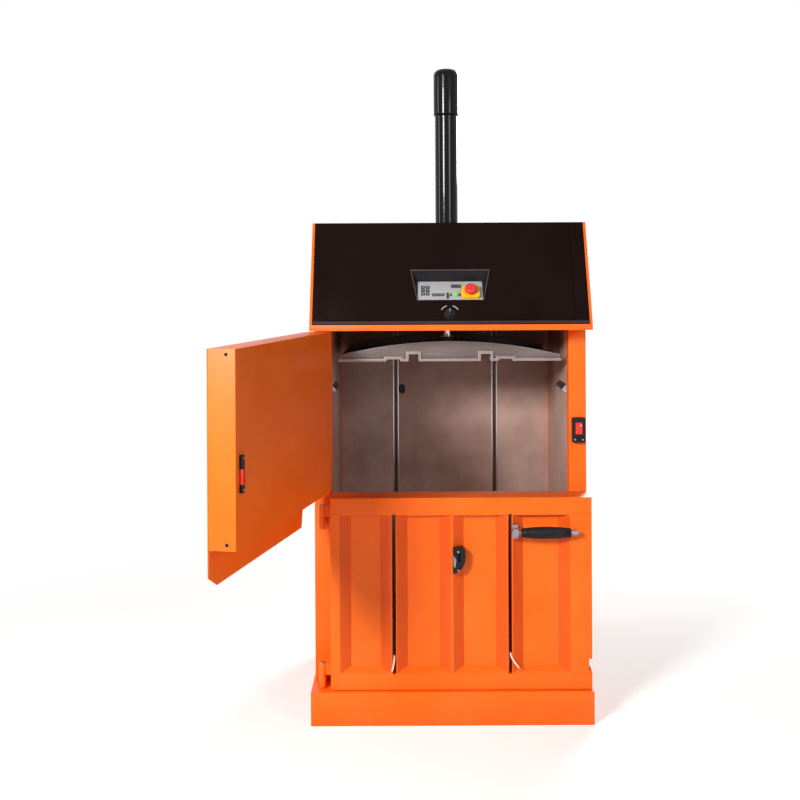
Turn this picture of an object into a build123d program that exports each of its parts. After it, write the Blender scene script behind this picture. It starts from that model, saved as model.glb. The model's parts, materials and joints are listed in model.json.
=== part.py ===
from build123d import *
import os
from math import cos, hypot, radians, sin

# A small vertical recycling baler, in millimetres.
# X runs to the right and Y to the back, seen from the operator's side, and Z runs up.
# The origin is on the floor, under the middle of the body.
# The upper loading door stands open, the lower bale door is shut and the ram is up.

# Driving sizes of the body
base_height = 107.0
chamber_width = 786.0
chamber_depth = 600.0
post_width = 57.0
post_depth = 66.0
post_height = 1159.0
post_inset = 130.0
rear_bay = 50.0
rail_height = 19.0
shell_overhang = 5.0
hood_rise = 333.0
hood_run = 162.0

# Sheet and plate thicknesses
base_plate = 6.0
wall_plate = 6.0
tube_wall = 4.0
thin_sheet = 3.0
rib_sheet = 4.0
bend_radius = 3.0

# Clearances that several pieces share
pin_clearance = 0.05
fit_clearance = 0.05
button_clearance = 0.2
running_gap = 0.3
hole_clearance = 0.5

# Places worked out from the driving sizes
body_width = chamber_width + 2 * post_width
shell_width = body_width + 2 * shell_overhang
body_depth = post_inset + chamber_depth + rear_bay
front_y = -body_depth / 2
back_y = body_depth / 2
post_front_y = front_y + post_inset
post_back_y = post_front_y + post_depth
chamber_back_y = post_front_y + chamber_depth
chamber_mid_y = (post_front_y + chamber_back_y) / 2
post_x = (body_width - post_width) / 2
hood_low = base_height + post_height
rear_post_front_y = back_y - post_depth
wall_length = rear_post_front_y - post_back_y
wall_outer_x = chamber_width / 2 + wall_plate
hood_base = hood_low + rail_height
hood_high = hood_base + hood_rise

# The base and its anchor holes
anchor_inset = 70.0
anchor_spacing_x = body_width - 2 * anchor_inset
anchor_spacing_y = body_depth - 2 * anchor_inset
anchor_hole_radius = 7.0
bale_door_gap = 3.0

# The chamber floor and the strap channels in the floor and the back wall
floor_height = 30.0
floor_sheet = 6.0
channel_x = 187.0
channel_width = 14.0
channel_depth = 22.0
floor_front_gap = 2.0

# Stiffening ribs outside the side walls
rib_count = 5
rib_first = 103.0
rib_under_claws = 52.0
rib_under_hood = 76.0
rib_height = 60.0
rib_depth = 44.0

# Spring-loaded retainer claws in the side walls
claw_inset = 114.0
claw_slot_y = post_back_y + claw_inset
claw_slot_length = 200.0
claw_slot_height = 33.0
claw_below_hood = 191.0
claw_slot_high = hood_low - claw_below_hood
claw_slot_low = claw_slot_high - claw_slot_height
claw_end_gap = 5.0
claw_length = claw_slot_length - 2 * claw_end_gap
claw_pivot_out = 15.0
claw_pivot_drop = 3.0
claw_pivot_z = claw_slot_high - claw_pivot_drop
claw_pin_radius = 4.0
claw_reach = 26.0
claw_drop = 20.0
claw_lug = 6.0
claw_lug_size = 22.0
rib_low = base_height + rib_first
rib_step = (claw_slot_low - rib_under_claws - rib_low) / (rib_count - 1)
rib_heights = [rib_low + rib_step * place for place in range(rib_count)]
rib_heights.append(hood_low - rib_under_hood)
claw_back = 7.0
claw_crown = 5.0
claw_toe = 4.0
claw_throat = 3.0
claw_heel = 10.0

# Doors: both turn on one line at the left of the posts
hinge_out = 80.0
hinge_inset = 30.0
hinge_x = hinge_inset - body_width / 2
hinge_pin_radius = 6.0
knuckle_radius = 11.0
knuckle_length = 38.0
knuckle_gap = 1.0
hinge_leaf = 8.0
loading_door_open = 102.6

# The loading door, measured from the hinge line: along it, and towards the chamber
door_edge = 12.0
door_length = body_width / 2 - hinge_x
door_inner = 35.0
door_outer = 43.0
door_top_gap = 4.0
skirt_corner = (60.0, 31.0)
notch_length = 90.0
notch_rises = (54.0, 79.0)
notch_top = 40.0
notch_step = 12.0
door_sheet = 2.5

# The bale door, and the heights that follow from it
bale_side_gap = 2.0
bale_left = bale_side_gap - chamber_width / 2
bale_right = body_width / 2
bale_front_out = 35.0
bale_thickness = 113.0
bale_height = 617.0
bale_low = base_height + bale_door_gap
bale_top = bale_low + bale_height
bale_hinge_drop = 105.0
bale_hinge_heights = (bale_low, bale_top - bale_hinge_drop)
loading_hinge_rise = 63.0
loading_hinge_drop = 126.0
loading_hinge_heights = (bale_top + loading_hinge_rise, hood_low - loading_hinge_drop)
door_rise = 19.0
door_low = bale_top + door_rise
skirt_overlap = 84.0
skirt_low = bale_top - skirt_overlap
interlock_rise = 203.0
bale_top_rail = 53.0
bale_bottom_rail = 50.0
bale_left_stile = 27.0
stile_notch = (10.0, 38.0)
stile_notch_rise = 78.0
bale_right_stile = 67.0
slot_width = 12.0
liner_plate = 6.0
pan_depth = 28.0
pan_flank = 35.0
pan_top_flank = 5.0
pan_bottom_flank = 16.0
pan_margin = 3.0
ridge_half = 4.0

# The lever and the bolt that it drives into the base
lever_inset = 16.0
lever_x = channel_x + lever_inset
lever_drop = 107.0
lever_z = bale_top - lever_drop
lever_end_inset = 46.0
lever_arm = bale_right - lever_end_inset - lever_x
lever_out = 30.0
lever_bar_radius = 6.0
lever_hub_radius = 13.0
lever_hub_length = 23.0
lever_hub_chamfer = 2.0
lever_cap_radius = 9.0
lever_cap_length = 22.0
lever_cap_round = 5.0
lever_shaft_radius = 5.0
grip_start = 18.0
lever_tip = 25.0
grip_length = lever_arm - grip_start - lever_tip
grip_radii = (14.0, 19.0, 15.0)
crank_radius = 18.0
crank_angle = 45.0
crank_pin_radius = 4.0
crank_thickness = 8.0
crank_gap = 0.7
crank_hub_wall = 1.5
crank_eye_wall = 3.0
bolt_offset = 9.0
bolt_x = lever_x + bolt_offset
bolt_inset = 35.0
bolt_radius = 8.0
bolt_clearance = 0.5
strike_clearance = 2.2
bolt_lift = 4.0
bolt_rest_low = base_height + bolt_lift
yoke_height = 30.0
yoke_width = 36.0
yoke_thickness = 12.0
yoke_slot = (24.0, 9.8)
bolt_chamfer = 1.5

# The hood, its cover and the control pocket
cheek_return = 9.0
emboss = 4.0
emboss_margin = 55.0
emboss_ends = (14.0, 6.0)
emboss_taper = 30.0
pocket_end = 192.0
pocket_mouth = 110.0
pocket_start = pocket_end - pocket_mouth
pocket_half = 105.5
pocket_splay = 19.0
pocket_run = 63.0
pocket_wall = 2.5
mouth_over = 2.0
plate_thickness = 2.0
plate_side_gap = 0.5
plate_end_gap = 4.0
floor_hole_gap = 5.0
top_hole_gap = 2.0

# Controls
estop_x = 66.0
estop_up = 30.0
estop_base_size = (58.0, 50.0, 12.0)
estop_radius = 20.0
estop_stem = 8.0
start_x = 16.0
start_up = 24.0
start_radius = 7.5
display_x = 19.0
display_up = 62.0
display_size = (34.0, 17.0, 1.5)
selector_x = -3.0
selector_up = 35.0
selector_radius = 14.0
selector_shaft = 8.0

# The cylinder and the ram
barrel_radius = 39.5
bore_radius = 30.0
cap_radius = 44.0
gland_rise = 14.0
gland_low = hood_low + gland_rise
gland_height = 20.0
gland_high = gland_low + gland_height
gland_spigot = 30.0
barrel_length = 712.0
cap_low = gland_high + barrel_length
cap_height = 161.0
cap_dome = 24.0
cap_chamfer = 2.0
rod_radius = 17.5
rod_top_rise = 28.0
rod_top = cap_low + rod_top_rise
piston_height = 35.0
platen_drop = 109.0
platen_low = hood_low - platen_drop
platen_plate_thickness = 8.0
platen_gap = 21.0
platen_end_gap = 17.0
platen_channel = (46.0, 7.0)
platen_notch_x = 120.0
platen_notch = (33.0, 24.0)
web_thickness = 8.0
web_end_height = 12.0
web_crown = 58.0
web_inset = 8.0
web_end_gap = 4.0
rib_spread = 70.0
mount_pad = (180.0, 180.0, 8.0)
rod_flange_rise = 48.0
rod_flange_low = platen_low + rod_flange_rise
rod_flange_height = 18.0
rod_flange_radius = 32.0
rod_flange_chamfer = 4.0
beam_height = 100.0
beam_depth = 50.0
beam_sheet = 8.0
beam_half_gap = 55.0
flange_size = (230.0, 220.0, 20.0)
flange_bolt_spacing = (180.0, 160.0)
flange_bolt_radius = 8.0
flange_bolt_head = (12.0, 10.0)
flange_corner = 12.0

# Planes that several pieces share
hinge_y = post_front_y - hinge_out
angle_open = radians(-loading_door_open)
door_frame = Plane(
    origin=(hinge_x, hinge_y, 0),
    x_dir=(cos(angle_open), sin(angle_open), 0),
    z_dir=(0, 0, 1),
)
slope_length = hypot(hood_run, hood_high - hood_base)
slope_cos = (hood_high - hood_base) / slope_length
slope_sin = hood_run / slope_length
slope_plane = Plane(
    origin=(0, front_y, hood_base),
    x_dir=(1, 0, 0),
    z_dir=(0, -slope_cos, slope_sin),
)
bale_front_y = hinge_y - bale_front_out
bale_back_y = bale_front_y + bale_thickness
bale_liner_y = bale_back_y - liner_plate
bolt_y = hinge_y + bolt_inset


def door_face(inward):
    """A sketch plane along the open loading door, so far inward from its hinge line."""
    return Plane(
        origin=door_frame.from_local_coords((0, inward, 0)),
        x_dir=door_frame.x_dir,
        z_dir=-door_frame.y_dir,
    )


def front_plane(y):
    """A sketch plane across the machine at this depth, seen from the front."""
    return Plane.XZ.offset(-y)


# Base: a folded box, open at the back, that is anchored through its bottom plate
with BuildPart() as base_frame:
    with BuildSketch(Plane.XY):
        Rectangle(shell_width, body_depth)
    extrude(amount=base_height)
    fillet(base_frame.edges().filter_by(Axis.Z), bend_radius)
    with BuildSketch(Plane.XY.offset(base_plate)):
        with Locations((0, base_plate)):
            Rectangle(shell_width - 2 * base_plate, body_depth)
    extrude(amount=base_height - 2 * base_plate, mode=Mode.SUBTRACT)
    with BuildSketch(Plane.XY):
        with GridLocations(anchor_spacing_x, anchor_spacing_y, 2, 2):
            Circle(anchor_hole_radius)
    extrude(amount=base_plate, mode=Mode.SUBTRACT)
    with BuildSketch(Plane.XY.offset(base_height - base_plate)):
        with Locations((bolt_x, bolt_y)):
            Circle(bolt_radius + strike_clearance)
    extrude(amount=base_plate, mode=Mode.SUBTRACT)
base_frame.part.label = "base_frame"

# Chamber floor: a folded plate with two strap channels
with BuildPart() as chamber_floor:
    with BuildSketch(front_plane(post_front_y + floor_front_gap)):
        with Locations((0, base_height + floor_height / 2)):
            Rectangle(chamber_width, floor_height)
        with Locations((0, base_height + (floor_height - floor_sheet) / 2)):
            Rectangle(
                2 * channel_x - channel_width - 2 * floor_sheet,
                floor_height - floor_sheet,
                mode=Mode.SUBTRACT,
            )
        side_bay = chamber_width / 2 - channel_x - channel_width / 2 - 2 * floor_sheet
        side_bay_x = channel_x + channel_width / 2 + floor_sheet + side_bay / 2
        with Locations(
            (side_bay_x, base_height + (floor_height - floor_sheet) / 2),
            (-side_bay_x, base_height + (floor_height - floor_sheet) / 2),
        ):
            Rectangle(side_bay, floor_height - floor_sheet, mode=Mode.SUBTRACT)
        with Locations(
            (channel_x, base_height + floor_height - channel_depth / 2),
            (-channel_x, base_height + floor_height - channel_depth / 2),
        ):
            Rectangle(channel_width, channel_depth, mode=Mode.SUBTRACT)
    extrude(amount=-(chamber_depth - floor_front_gap))
chamber_floor.part.label = "chamber_floor"

# Front posts: square tubes beside the loading opening
with BuildPart() as front_posts:
    with BuildSketch(Plane.XY.offset(base_height)):
        with Locations(
            (-post_x, (post_front_y + post_back_y) / 2),
            (post_x, (post_front_y + post_back_y) / 2),
        ):
            RectangleRounded(post_width, post_depth, bend_radius)
            Rectangle(post_width - 2 * tube_wall, post_depth - 2 * tube_wall, mode=Mode.SUBTRACT)
    extrude(amount=post_height)
front_posts.part.label = "front_posts"

# Rear posts: the same tube at both back corners
with BuildPart() as rear_posts:
    with BuildSketch(Plane.XY.offset(base_height)):
        with Locations(
            (-post_x, back_y - post_depth / 2),
            (post_x, back_y - post_depth / 2),
        ):
            RectangleRounded(post_width, post_depth, bend_radius)
            Rectangle(post_width - 2 * tube_wall, post_depth - 2 * tube_wall, mode=Mode.SUBTRACT)
    extrude(amount=post_height)
rear_posts.part.label = "rear_posts"

# Side walls: plate, outside ribs, a slot for the claw and the two lugs of its pin
wall_mid_y = (post_back_y + rear_post_front_y) / 2
claw_pivot_x = chamber_width / 2 + claw_pivot_out
lug_outer_x = claw_pivot_x + claw_lug_size / 2
lug_offset = (claw_slot_length + claw_lug) / 2
with BuildPart() as left_wall:
    with BuildSketch(Plane.XY.offset(base_height)):
        with Locations((-(chamber_width + wall_plate) / 2, wall_mid_y)):
            Rectangle(wall_plate, wall_length)
    extrude(amount=post_height)
    with BuildSketch(front_plane(post_back_y)):
        with Locations(*[(-(wall_outer_x + rib_depth / 2), z) for z in rib_heights]):
            Rectangle(rib_depth, rib_height)
        with Locations(*[(-(wall_outer_x + (rib_depth - rib_sheet) / 2), z) for z in rib_heights]):
            Rectangle(rib_depth - rib_sheet, rib_height - 2 * rib_sheet, mode=Mode.SUBTRACT)
    extrude(amount=-wall_length)
    with BuildSketch(Plane.YZ.offset(-wall_outer_x)):
        with Locations((claw_slot_y, (claw_slot_low + claw_slot_high) / 2)):
            Rectangle(claw_slot_length, claw_slot_high - claw_slot_low)
    extrude(amount=wall_plate, mode=Mode.SUBTRACT)
    for lug_side in (-1, 1):
        with BuildSketch(front_plane(claw_slot_y + lug_side * lug_offset - claw_lug / 2)):
            with Locations((-(wall_outer_x + lug_outer_x) / 2, claw_pivot_z)):
                Rectangle(lug_outer_x - wall_outer_x, claw_lug_size)
            with Locations((-claw_pivot_x, claw_pivot_z)):
                Circle(claw_pin_radius + pin_clearance, mode=Mode.SUBTRACT)
        extrude(amount=-claw_lug)
left_wall.part.label = "left_wall"

with BuildPart() as right_wall:
    mirror(left_wall.part, about=Plane.YZ)
right_wall.part.label = "right_wall"

# Back wall: plate with two strap channels that stand out behind as ribs
back_rib_depth = back_y - chamber_back_y - 2 * thin_sheet
with BuildPart() as back_wall:
    with BuildSketch(Plane.XY.offset(base_height)):
        with Locations((0, chamber_back_y + wall_plate / 2)):
            Rectangle(chamber_width, wall_plate)
        with Locations(
            (-channel_x, chamber_back_y + back_rib_depth / 2),
            (channel_x, chamber_back_y + back_rib_depth / 2),
        ):
            Rectangle(channel_width + 2 * rib_sheet, back_rib_depth)
        with Locations(
            (-channel_x, chamber_back_y + (back_rib_depth - rib_sheet) / 2),
            (channel_x, chamber_back_y + (back_rib_depth - rib_sheet) / 2),
        ):
            Rectangle(channel_width, back_rib_depth - rib_sheet, mode=Mode.SUBTRACT)
    extrude(amount=post_height)
back_wall.part.label = "back_wall"

# Rear panel: a flat sheet between the rear posts
with BuildPart() as rear_panel:
    with BuildSketch(Plane.XY.offset(base_height)):
        with Locations((0, chamber_back_y + back_rib_depth + thin_sheet / 2)):
            Rectangle(chamber_width, thin_sheet)
    extrude(amount=post_height)
rear_panel.part.label = "rear_panel"

# Level sensor on the back wall, beside the left channel
sensor_offset = 24.0
sensor_drop = 257.0
sensor_z = hood_low - sensor_drop
sensor_size = (24.0, 6.0, 34.0)
sensor_edge = 2.0
with BuildPart() as chamber_sensor:
    with BuildSketch(front_plane(chamber_back_y)):
        with Locations((sensor_offset - channel_x, sensor_z)):
            SlotOverall(sensor_size[2], sensor_size[0], rotation=90)
    extrude(amount=sensor_size[1])
    fillet(chamber_sensor.edges().group_by(Axis.Y)[0], sensor_edge)
chamber_sensor.part.label = "chamber_sensor"

# Hood floor: a tray over the posts, whose front lip is the rail above the opening
with BuildPart() as hood_floor:
    with BuildSketch(Plane.XY.offset(hood_low)):
        Rectangle(shell_width, body_depth)
    extrude(amount=rail_height)
    with BuildSketch(Plane.XY.offset(hood_low + base_plate)):
        Rectangle(shell_width - 2 * tube_wall, body_depth - 2 * tube_wall)
    extrude(amount=rail_height - base_plate, mode=Mode.SUBTRACT)
    with BuildSketch(Plane.XY.offset(hood_low)):
        with Locations((0, chamber_mid_y)):
            Circle(barrel_radius + floor_hole_gap)
    extrude(amount=base_plate, mode=Mode.SUBTRACT)
hood_floor.part.label = "hood_floor"

# Hood cheeks: side sheets with a narrow return all round
hood_side = [
    (front_y, hood_base),
    (front_y + hood_run, hood_high),
    (back_y, hood_high),
    (back_y, hood_base),
]
with BuildPart() as hood_cheek_left:
    with BuildSketch(Plane.YZ.offset(-shell_width / 2)):
        Polygon(*hood_side, align=None)
    extrude(amount=cheek_return)
    with BuildSketch(Plane.YZ.offset(-shell_width / 2 + thin_sheet)):
        Polygon(*hood_side, align=None)
        offset(amount=-thin_sheet, kind=Kind.INTERSECTION, mode=Mode.REPLACE)
    extrude(amount=cheek_return - thin_sheet, mode=Mode.SUBTRACT)
hood_cheek_left.part.label = "hood_cheek_left"

with BuildPart() as hood_cheek_right:
    mirror(hood_cheek_left.part, about=Plane.YZ)
hood_cheek_right.part.label = "hood_cheek_right"

# The pocket's side view: lower lip, inner corner and upper lip, as (y, z)
lip_y = front_y + slope_sin * pocket_start - slope_cos * emboss
lip_z = hood_base + slope_cos * pocket_start + slope_sin * emboss
top_lip_y = front_y + slope_sin * pocket_end - slope_cos * emboss
top_lip_z = hood_base + slope_cos * pocket_end + slope_sin * emboss
pocket_side = [(lip_y, lip_z), (lip_y + pocket_run, lip_z + pocket_run), (top_lip_y, top_lip_z)]
mouth_out = (-mouth_over * slope_cos, mouth_over * slope_sin)


def pocket_cavity():
    """The open space of the control pocket, splayed towards its upper lip."""
    points = []
    for side in (-1, 1):
        for (y, z), half in zip(pocket_side, (pocket_half, pocket_half, pocket_half + pocket_splay)):
            points.append((side * half, y, z))
        for (y, z), half in ((pocket_side[0], pocket_half), (pocket_side[2], pocket_half + pocket_splay)):
            points.append((side * half, y + mouth_out[0], z + mouth_out[1]))
    return ConvexPolyhedron(points, mode=Mode.PRIVATE)


# Hood cover: the black sloped sheet, with a raised middle and the pocket's mouth
cover_width = shell_width - 2 * cheek_return
cover_run = thin_sheet / slope_cos
with BuildPart() as hood_cover:
    with BuildSketch(Plane.YZ.offset(-cover_width / 2)):
        Polygon(
            (front_y, hood_base),
            (front_y + hood_run, hood_high),
            (front_y + hood_run + cover_run, hood_high),
            (front_y + cover_run, hood_base),
            align=None,
        )
    extrude(amount=cover_width)
    raised_width = shell_width - 2 * emboss_margin
    raised_low = emboss_ends[0]
    raised_high = slope_length - emboss_ends[1]
    with BuildSketch(slope_plane):
        with Locations((0, (raised_low + raised_high) / 2)):
            Rectangle(raised_width, raised_high - raised_low)
    extrude(amount=emboss, taper=emboss_taper)
    with BuildSketch(slope_plane.offset(-thin_sheet)):
        with Locations((0, (raised_low + raised_high) / 2)):
            Rectangle(raised_width - 2 * thin_sheet, raised_high - raised_low - 2 * thin_sheet)
    extrude(amount=emboss, taper=emboss_taper, mode=Mode.SUBTRACT)
    add(pocket_cavity(), mode=Mode.SUBTRACT)
    with BuildSketch(slope_plane.offset(-thin_sheet)):
        with Locations((selector_x, selector_up)):
            Circle(selector_shaft + hole_clearance)
    extrude(amount=emboss + thin_sheet, mode=Mode.SUBTRACT)
hood_cover.part.label = "hood_cover"

# Hood top: a flat sheet behind the cover, round the cylinder
pipe_radius = 6.0
pipe_gap = 8.0
pipe_y = chamber_mid_y + cap_radius + pipe_gap + pipe_radius
with BuildPart() as hood_top:
    with BuildSketch(Plane.XY.offset(hood_high - thin_sheet)):
        with Locations((0, (front_y + hood_run + cover_run + back_y) / 2)):
            Rectangle(cover_width, body_depth - hood_run - cover_run)
        with Locations((0, chamber_mid_y)):
            Circle(barrel_radius + top_hole_gap, mode=Mode.SUBTRACT)
        with Locations((0, pipe_y)):
            Circle(pipe_radius + top_hole_gap, mode=Mode.SUBTRACT)
    extrude(amount=thin_sheet)
hood_top.part.label = "hood_top"

# Rear hood panel with rows of vents
gland_inset = 110.0
gland_x = gland_inset - body_width / 2
gland_up = 50.0
gland_z = hood_base + gland_up
cable_hole_radius = 10.0
vent_size = (120.0, 7.0)
vent_pitch = (260.0, 24.0)
vent_rows = 6
vent_up = 40.0
with BuildPart() as hood_rear_panel:
    with BuildSketch(front_plane(back_y - thin_sheet)):
        with Locations((0, (hood_base + hood_high - thin_sheet) / 2)):
            Rectangle(cover_width, hood_high - thin_sheet - hood_base)
        with Locations((0, (hood_base + hood_high) / 2 + vent_up)):
            with GridLocations(vent_pitch[0], vent_pitch[1], 2, vent_rows):
                SlotOverall(vent_size[0], vent_size[1], mode=Mode.SUBTRACT)
        with Locations((gland_x, gland_z)):
            Circle(cable_hole_radius, mode=Mode.SUBTRACT)
    extrude(amount=-thin_sheet)
hood_rear_panel.part.label = "hood_rear_panel"

# Cable gland: a hexagon, a domed nut and a threaded spigot through the panel
cable_radius = 5.0
cable_hex_radius = 14.0
cable_hex_height = 6.0
cable_nut_radius = 12.0
cable_nut_height = 14.0
cable_nut_round = 3.0
cable_spigot = 12.0
cable_gland_length = cable_spigot + cable_hex_height + cable_nut_height
with BuildPart() as cable_gland:
    with BuildSketch(front_plane(back_y)):
        with Locations((gland_x, gland_z)):
            RegularPolygon(cable_hex_radius, 6, major_radius=False)
    extrude(amount=-cable_hex_height)
    with BuildSketch(front_plane(back_y + cable_hex_height)):
        with Locations((gland_x, gland_z)):
            Circle(cable_nut_radius)
    extrude(amount=-cable_nut_height)
    fillet(cable_gland.edges().group_by(Axis.Y)[-1], cable_nut_round)
    with BuildSketch(front_plane(back_y)):
        with Locations((gland_x, gland_z)):
            Circle(cable_hole_radius - running_gap)
    extrude(amount=cable_spigot)
    with BuildSketch(front_plane(back_y - cable_spigot)):
        with Locations((gland_x, gland_z)):
            Circle(cable_radius)
    extrude(amount=-cable_gland_length, mode=Mode.SUBTRACT)
cable_gland.part.label = "cable_gland"

# Control pocket: the moulded liner behind the cover's mouth
inner_face = slope_plane.offset(emboss - thin_sheet)
with BuildPart() as control_pocket:
    with BuildSketch(Plane.YZ.offset(-(pocket_half + pocket_splay + pocket_wall))):
        Polygon(*pocket_side, align=None)
        offset(amount=pocket_wall, kind=Kind.INTERSECTION, mode=Mode.REPLACE)
    extrude(amount=2 * (pocket_half + pocket_splay + pocket_wall))
    split(bisect_by=inner_face, keep=Keep.BOTTOM)
    add(pocket_cavity(), mode=Mode.SUBTRACT)
control_pocket.part.label = "control_pocket"

# Control plate: on the pocket's floor, with the start button's collar and the display
plate_length = hypot(pocket_run, pocket_run)
plate_plane = Plane(origin=(0, lip_y, lip_z), x_dir=(1, 0, 0), z_dir=(0, -1, 1))
plate_top = plate_plane.offset(plate_thickness)
collar_height = 5.0
collar_wall = 2.5
with BuildPart() as control_plate:
    with BuildSketch(plate_plane):
        with Locations((0, plate_length / 2)):
            Rectangle(2 * (pocket_half - plate_side_gap), plate_length - 2 * plate_end_gap)
    extrude(amount=plate_thickness)
    with BuildSketch(plate_top):
        with Locations((start_x, start_up)):
            Circle(start_radius + button_clearance + collar_wall)
            Circle(start_radius + button_clearance, mode=Mode.SUBTRACT)
    extrude(amount=collar_height)
    with BuildSketch(plate_top):
        with Locations((display_x, display_up)):
            Rectangle(display_size[0], display_size[1])
    extrude(amount=display_size[2])
control_plate.part.label = "control_plate"

# Emergency stop: the yellow base and the red mushroom on its stem
estop_travel = 4.0
estop_play = 1.0
estop_head = 14.0
estop_crown = 6.0
estop_corner = 6.0
with BuildPart() as estop_base:
    with BuildSketch(plate_top):
        with Locations((estop_x, estop_up)):
            RectangleRounded(estop_base_size[0], estop_base_size[1], estop_corner)
            Circle(estop_stem + button_clearance, mode=Mode.SUBTRACT)
    extrude(amount=estop_base_size[2])
estop_base.part.label = "estop_base"

estop_plane = plate_top.offset(estop_travel + estop_play)
with BuildPart() as estop_button:
    with BuildSketch(estop_plane):
        with Locations((estop_x, estop_up)):
            Circle(estop_stem)
    extrude(amount=estop_base_size[2])
    with BuildSketch(estop_plane.offset(estop_base_size[2])):
        with Locations((estop_x, estop_up)):
            Circle(estop_radius)
    extrude(amount=estop_head)
    crown = estop_button.faces().filter_by(lambda f: f.normal_at().dot(plate_plane.z_dir) > 0.9)
    fillet(crown.sort_by(Axis(plate_plane.origin, plate_plane.z_dir))[-1].edges(), estop_crown)
estop_button.part.label = "estop_button"

start_travel = 2.0
start_proud = 1.0
with BuildPart() as start_button:
    with BuildSketch(plate_top.offset(start_travel + hole_clearance)):
        with Locations((start_x, start_up)):
            Circle(start_radius)
    extrude(amount=collar_height + start_proud)
start_button.part.label = "start_button"

# Selector: a collar on the cover and the knob on its shaft
bezel_height = 3.0
bezel_border = 4.5
selector_disc = 7.0
selector_wing = (26.0, 9.0, 9.0)
selector_tail = 8.0
selector_seat = emboss + bezel_height + running_gap
with BuildPart() as selector_bezel:
    with BuildSketch(slope_plane.offset(emboss)):
        with Locations((selector_x, selector_up)):
            Circle(selector_radius + bezel_border)
            Circle(selector_shaft + pin_clearance, mode=Mode.SUBTRACT)
    extrude(amount=bezel_height)
selector_bezel.part.label = "selector_bezel"

with BuildPart() as selector_knob:
    with BuildSketch(slope_plane.offset(-selector_tail)):
        with Locations((selector_x, selector_up)):
            Circle(selector_shaft)
    extrude(amount=selector_tail + selector_seat)
    with BuildSketch(slope_plane.offset(selector_seat)):
        with Locations((selector_x, selector_up)):
            Circle(selector_radius)
    extrude(amount=selector_disc)
    with BuildSketch(slope_plane.offset(selector_seat + selector_disc)):
        with Locations((selector_x, selector_up)):
            SlotOverall(selector_wing[0], selector_wing[1], rotation=90)
    extrude(amount=selector_wing[2])
selector_knob.part.label = "selector_knob"

# Cylinder beams: two channels across the hood floor that carry the press force
tray_top = hood_low + base_plate
beam_end_gap = 1.0
beam_length = cover_width - 2 * beam_end_gap
with BuildPart() as cylinder_beams:
    for beam_side in (-1, 1):
        beam_y = chamber_mid_y + beam_side * (beam_half_gap + beam_depth / 2)
        with BuildSketch(Plane.YZ.offset(-beam_length / 2)):
            with Locations((beam_y, tray_top + beam_height / 2)):
                Rectangle(beam_depth, beam_height)
            with Locations((beam_y + beam_side * beam_sheet, tray_top + beam_height / 2)):
                Rectangle(beam_depth, beam_height - 2 * beam_sheet, mode=Mode.SUBTRACT)
        extrude(amount=beam_length)
    with BuildSketch(Plane.XY.offset(tray_top + beam_height - beam_sheet)):
        with Locations((0, chamber_mid_y)):
            with GridLocations(flange_bolt_spacing[0], flange_bolt_spacing[1], 2, 2):
                Circle(flange_bolt_radius + hole_clearance)
    extrude(amount=beam_sheet, mode=Mode.SUBTRACT)
cylinder_beams.part.label = "cylinder_beams"

# Cylinder flange: the plate that hangs the barrel between the beams
flange_low = tray_top + beam_height
with BuildPart() as cylinder_flange:
    with BuildSketch(Plane.XY.offset(flange_low)):
        with Locations((0, chamber_mid_y)):
            RectangleRounded(flange_size[0], flange_size[1], flange_corner)
            Circle(barrel_radius + fit_clearance, mode=Mode.SUBTRACT)
            with GridLocations(flange_bolt_spacing[0], flange_bolt_spacing[1], 2, 2):
                Circle(flange_bolt_radius + hole_clearance, mode=Mode.SUBTRACT)
    extrude(amount=flange_size[2])
cylinder_flange.part.label = "cylinder_flange"

with BuildPart() as flange_bolts:
    bolt_grip = flange_size[2] + beam_sheet
    with BuildSketch(Plane.XY.offset(flange_low + flange_size[2])):
        with Locations((0, chamber_mid_y)):
            with GridLocations(flange_bolt_spacing[0], flange_bolt_spacing[1], 2, 2):
                RegularPolygon(flange_bolt_head[0], 6, major_radius=False)
    extrude(amount=flange_bolt_head[1])
    with BuildSketch(Plane.XY.offset(flange_low - beam_sheet)):
        with Locations((0, chamber_mid_y)):
            with GridLocations(flange_bolt_spacing[0], flange_bolt_spacing[1], 2, 2):
                Circle(flange_bolt_radius)
    extrude(amount=bolt_grip)
flange_bolts.part.label = "flange_bolts"

# Cylinder: the barrel, the gland at its foot and the domed cap
with BuildPart() as cylinder_barrel:
    with BuildSketch(Plane.XY.offset(gland_high)):
        with Locations((0, chamber_mid_y)):
            Circle(barrel_radius)
            Circle(bore_radius, mode=Mode.SUBTRACT)
    extrude(amount=barrel_length)
cylinder_barrel.part.label = "cylinder_barrel"

with BuildPart() as cylinder_gland:
    with BuildSketch(Plane.XY.offset(gland_low)):
        with Locations((0, chamber_mid_y)):
            Circle(barrel_radius)
    extrude(amount=gland_height)
    with BuildSketch(Plane.XY.offset(gland_high)):
        with Locations((0, chamber_mid_y)):
            Circle(bore_radius - fit_clearance)
    extrude(amount=gland_spigot)
    with BuildSketch(Plane.XY.offset(gland_low)):
        with Locations((0, chamber_mid_y)):
            Circle(rod_radius + fit_clearance)
    extrude(amount=gland_height + gland_spigot, mode=Mode.SUBTRACT)
cylinder_gland.part.label = "cylinder_gland"

piston_end_gap = 14.0
with BuildPart() as cylinder_cap:
    with BuildSketch(Plane.XY.offset(cap_low)):
        with Locations((0, chamber_mid_y)):
            Circle(cap_radius)
    extrude(amount=cap_height)
    fillet(cylinder_cap.edges().group_by(Axis.Z)[-1], cap_dome)
    chamfer(cylinder_cap.edges().group_by(Axis.Z)[0], cap_chamfer)
    with BuildSketch(Plane.XY.offset(cap_low)):
        with Locations((0, chamber_mid_y)):
            Circle(bore_radius)
    extrude(amount=rod_top + piston_height + piston_end_gap - cap_low, mode=Mode.SUBTRACT)
cylinder_cap.part.label = "cylinder_cap"

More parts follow.
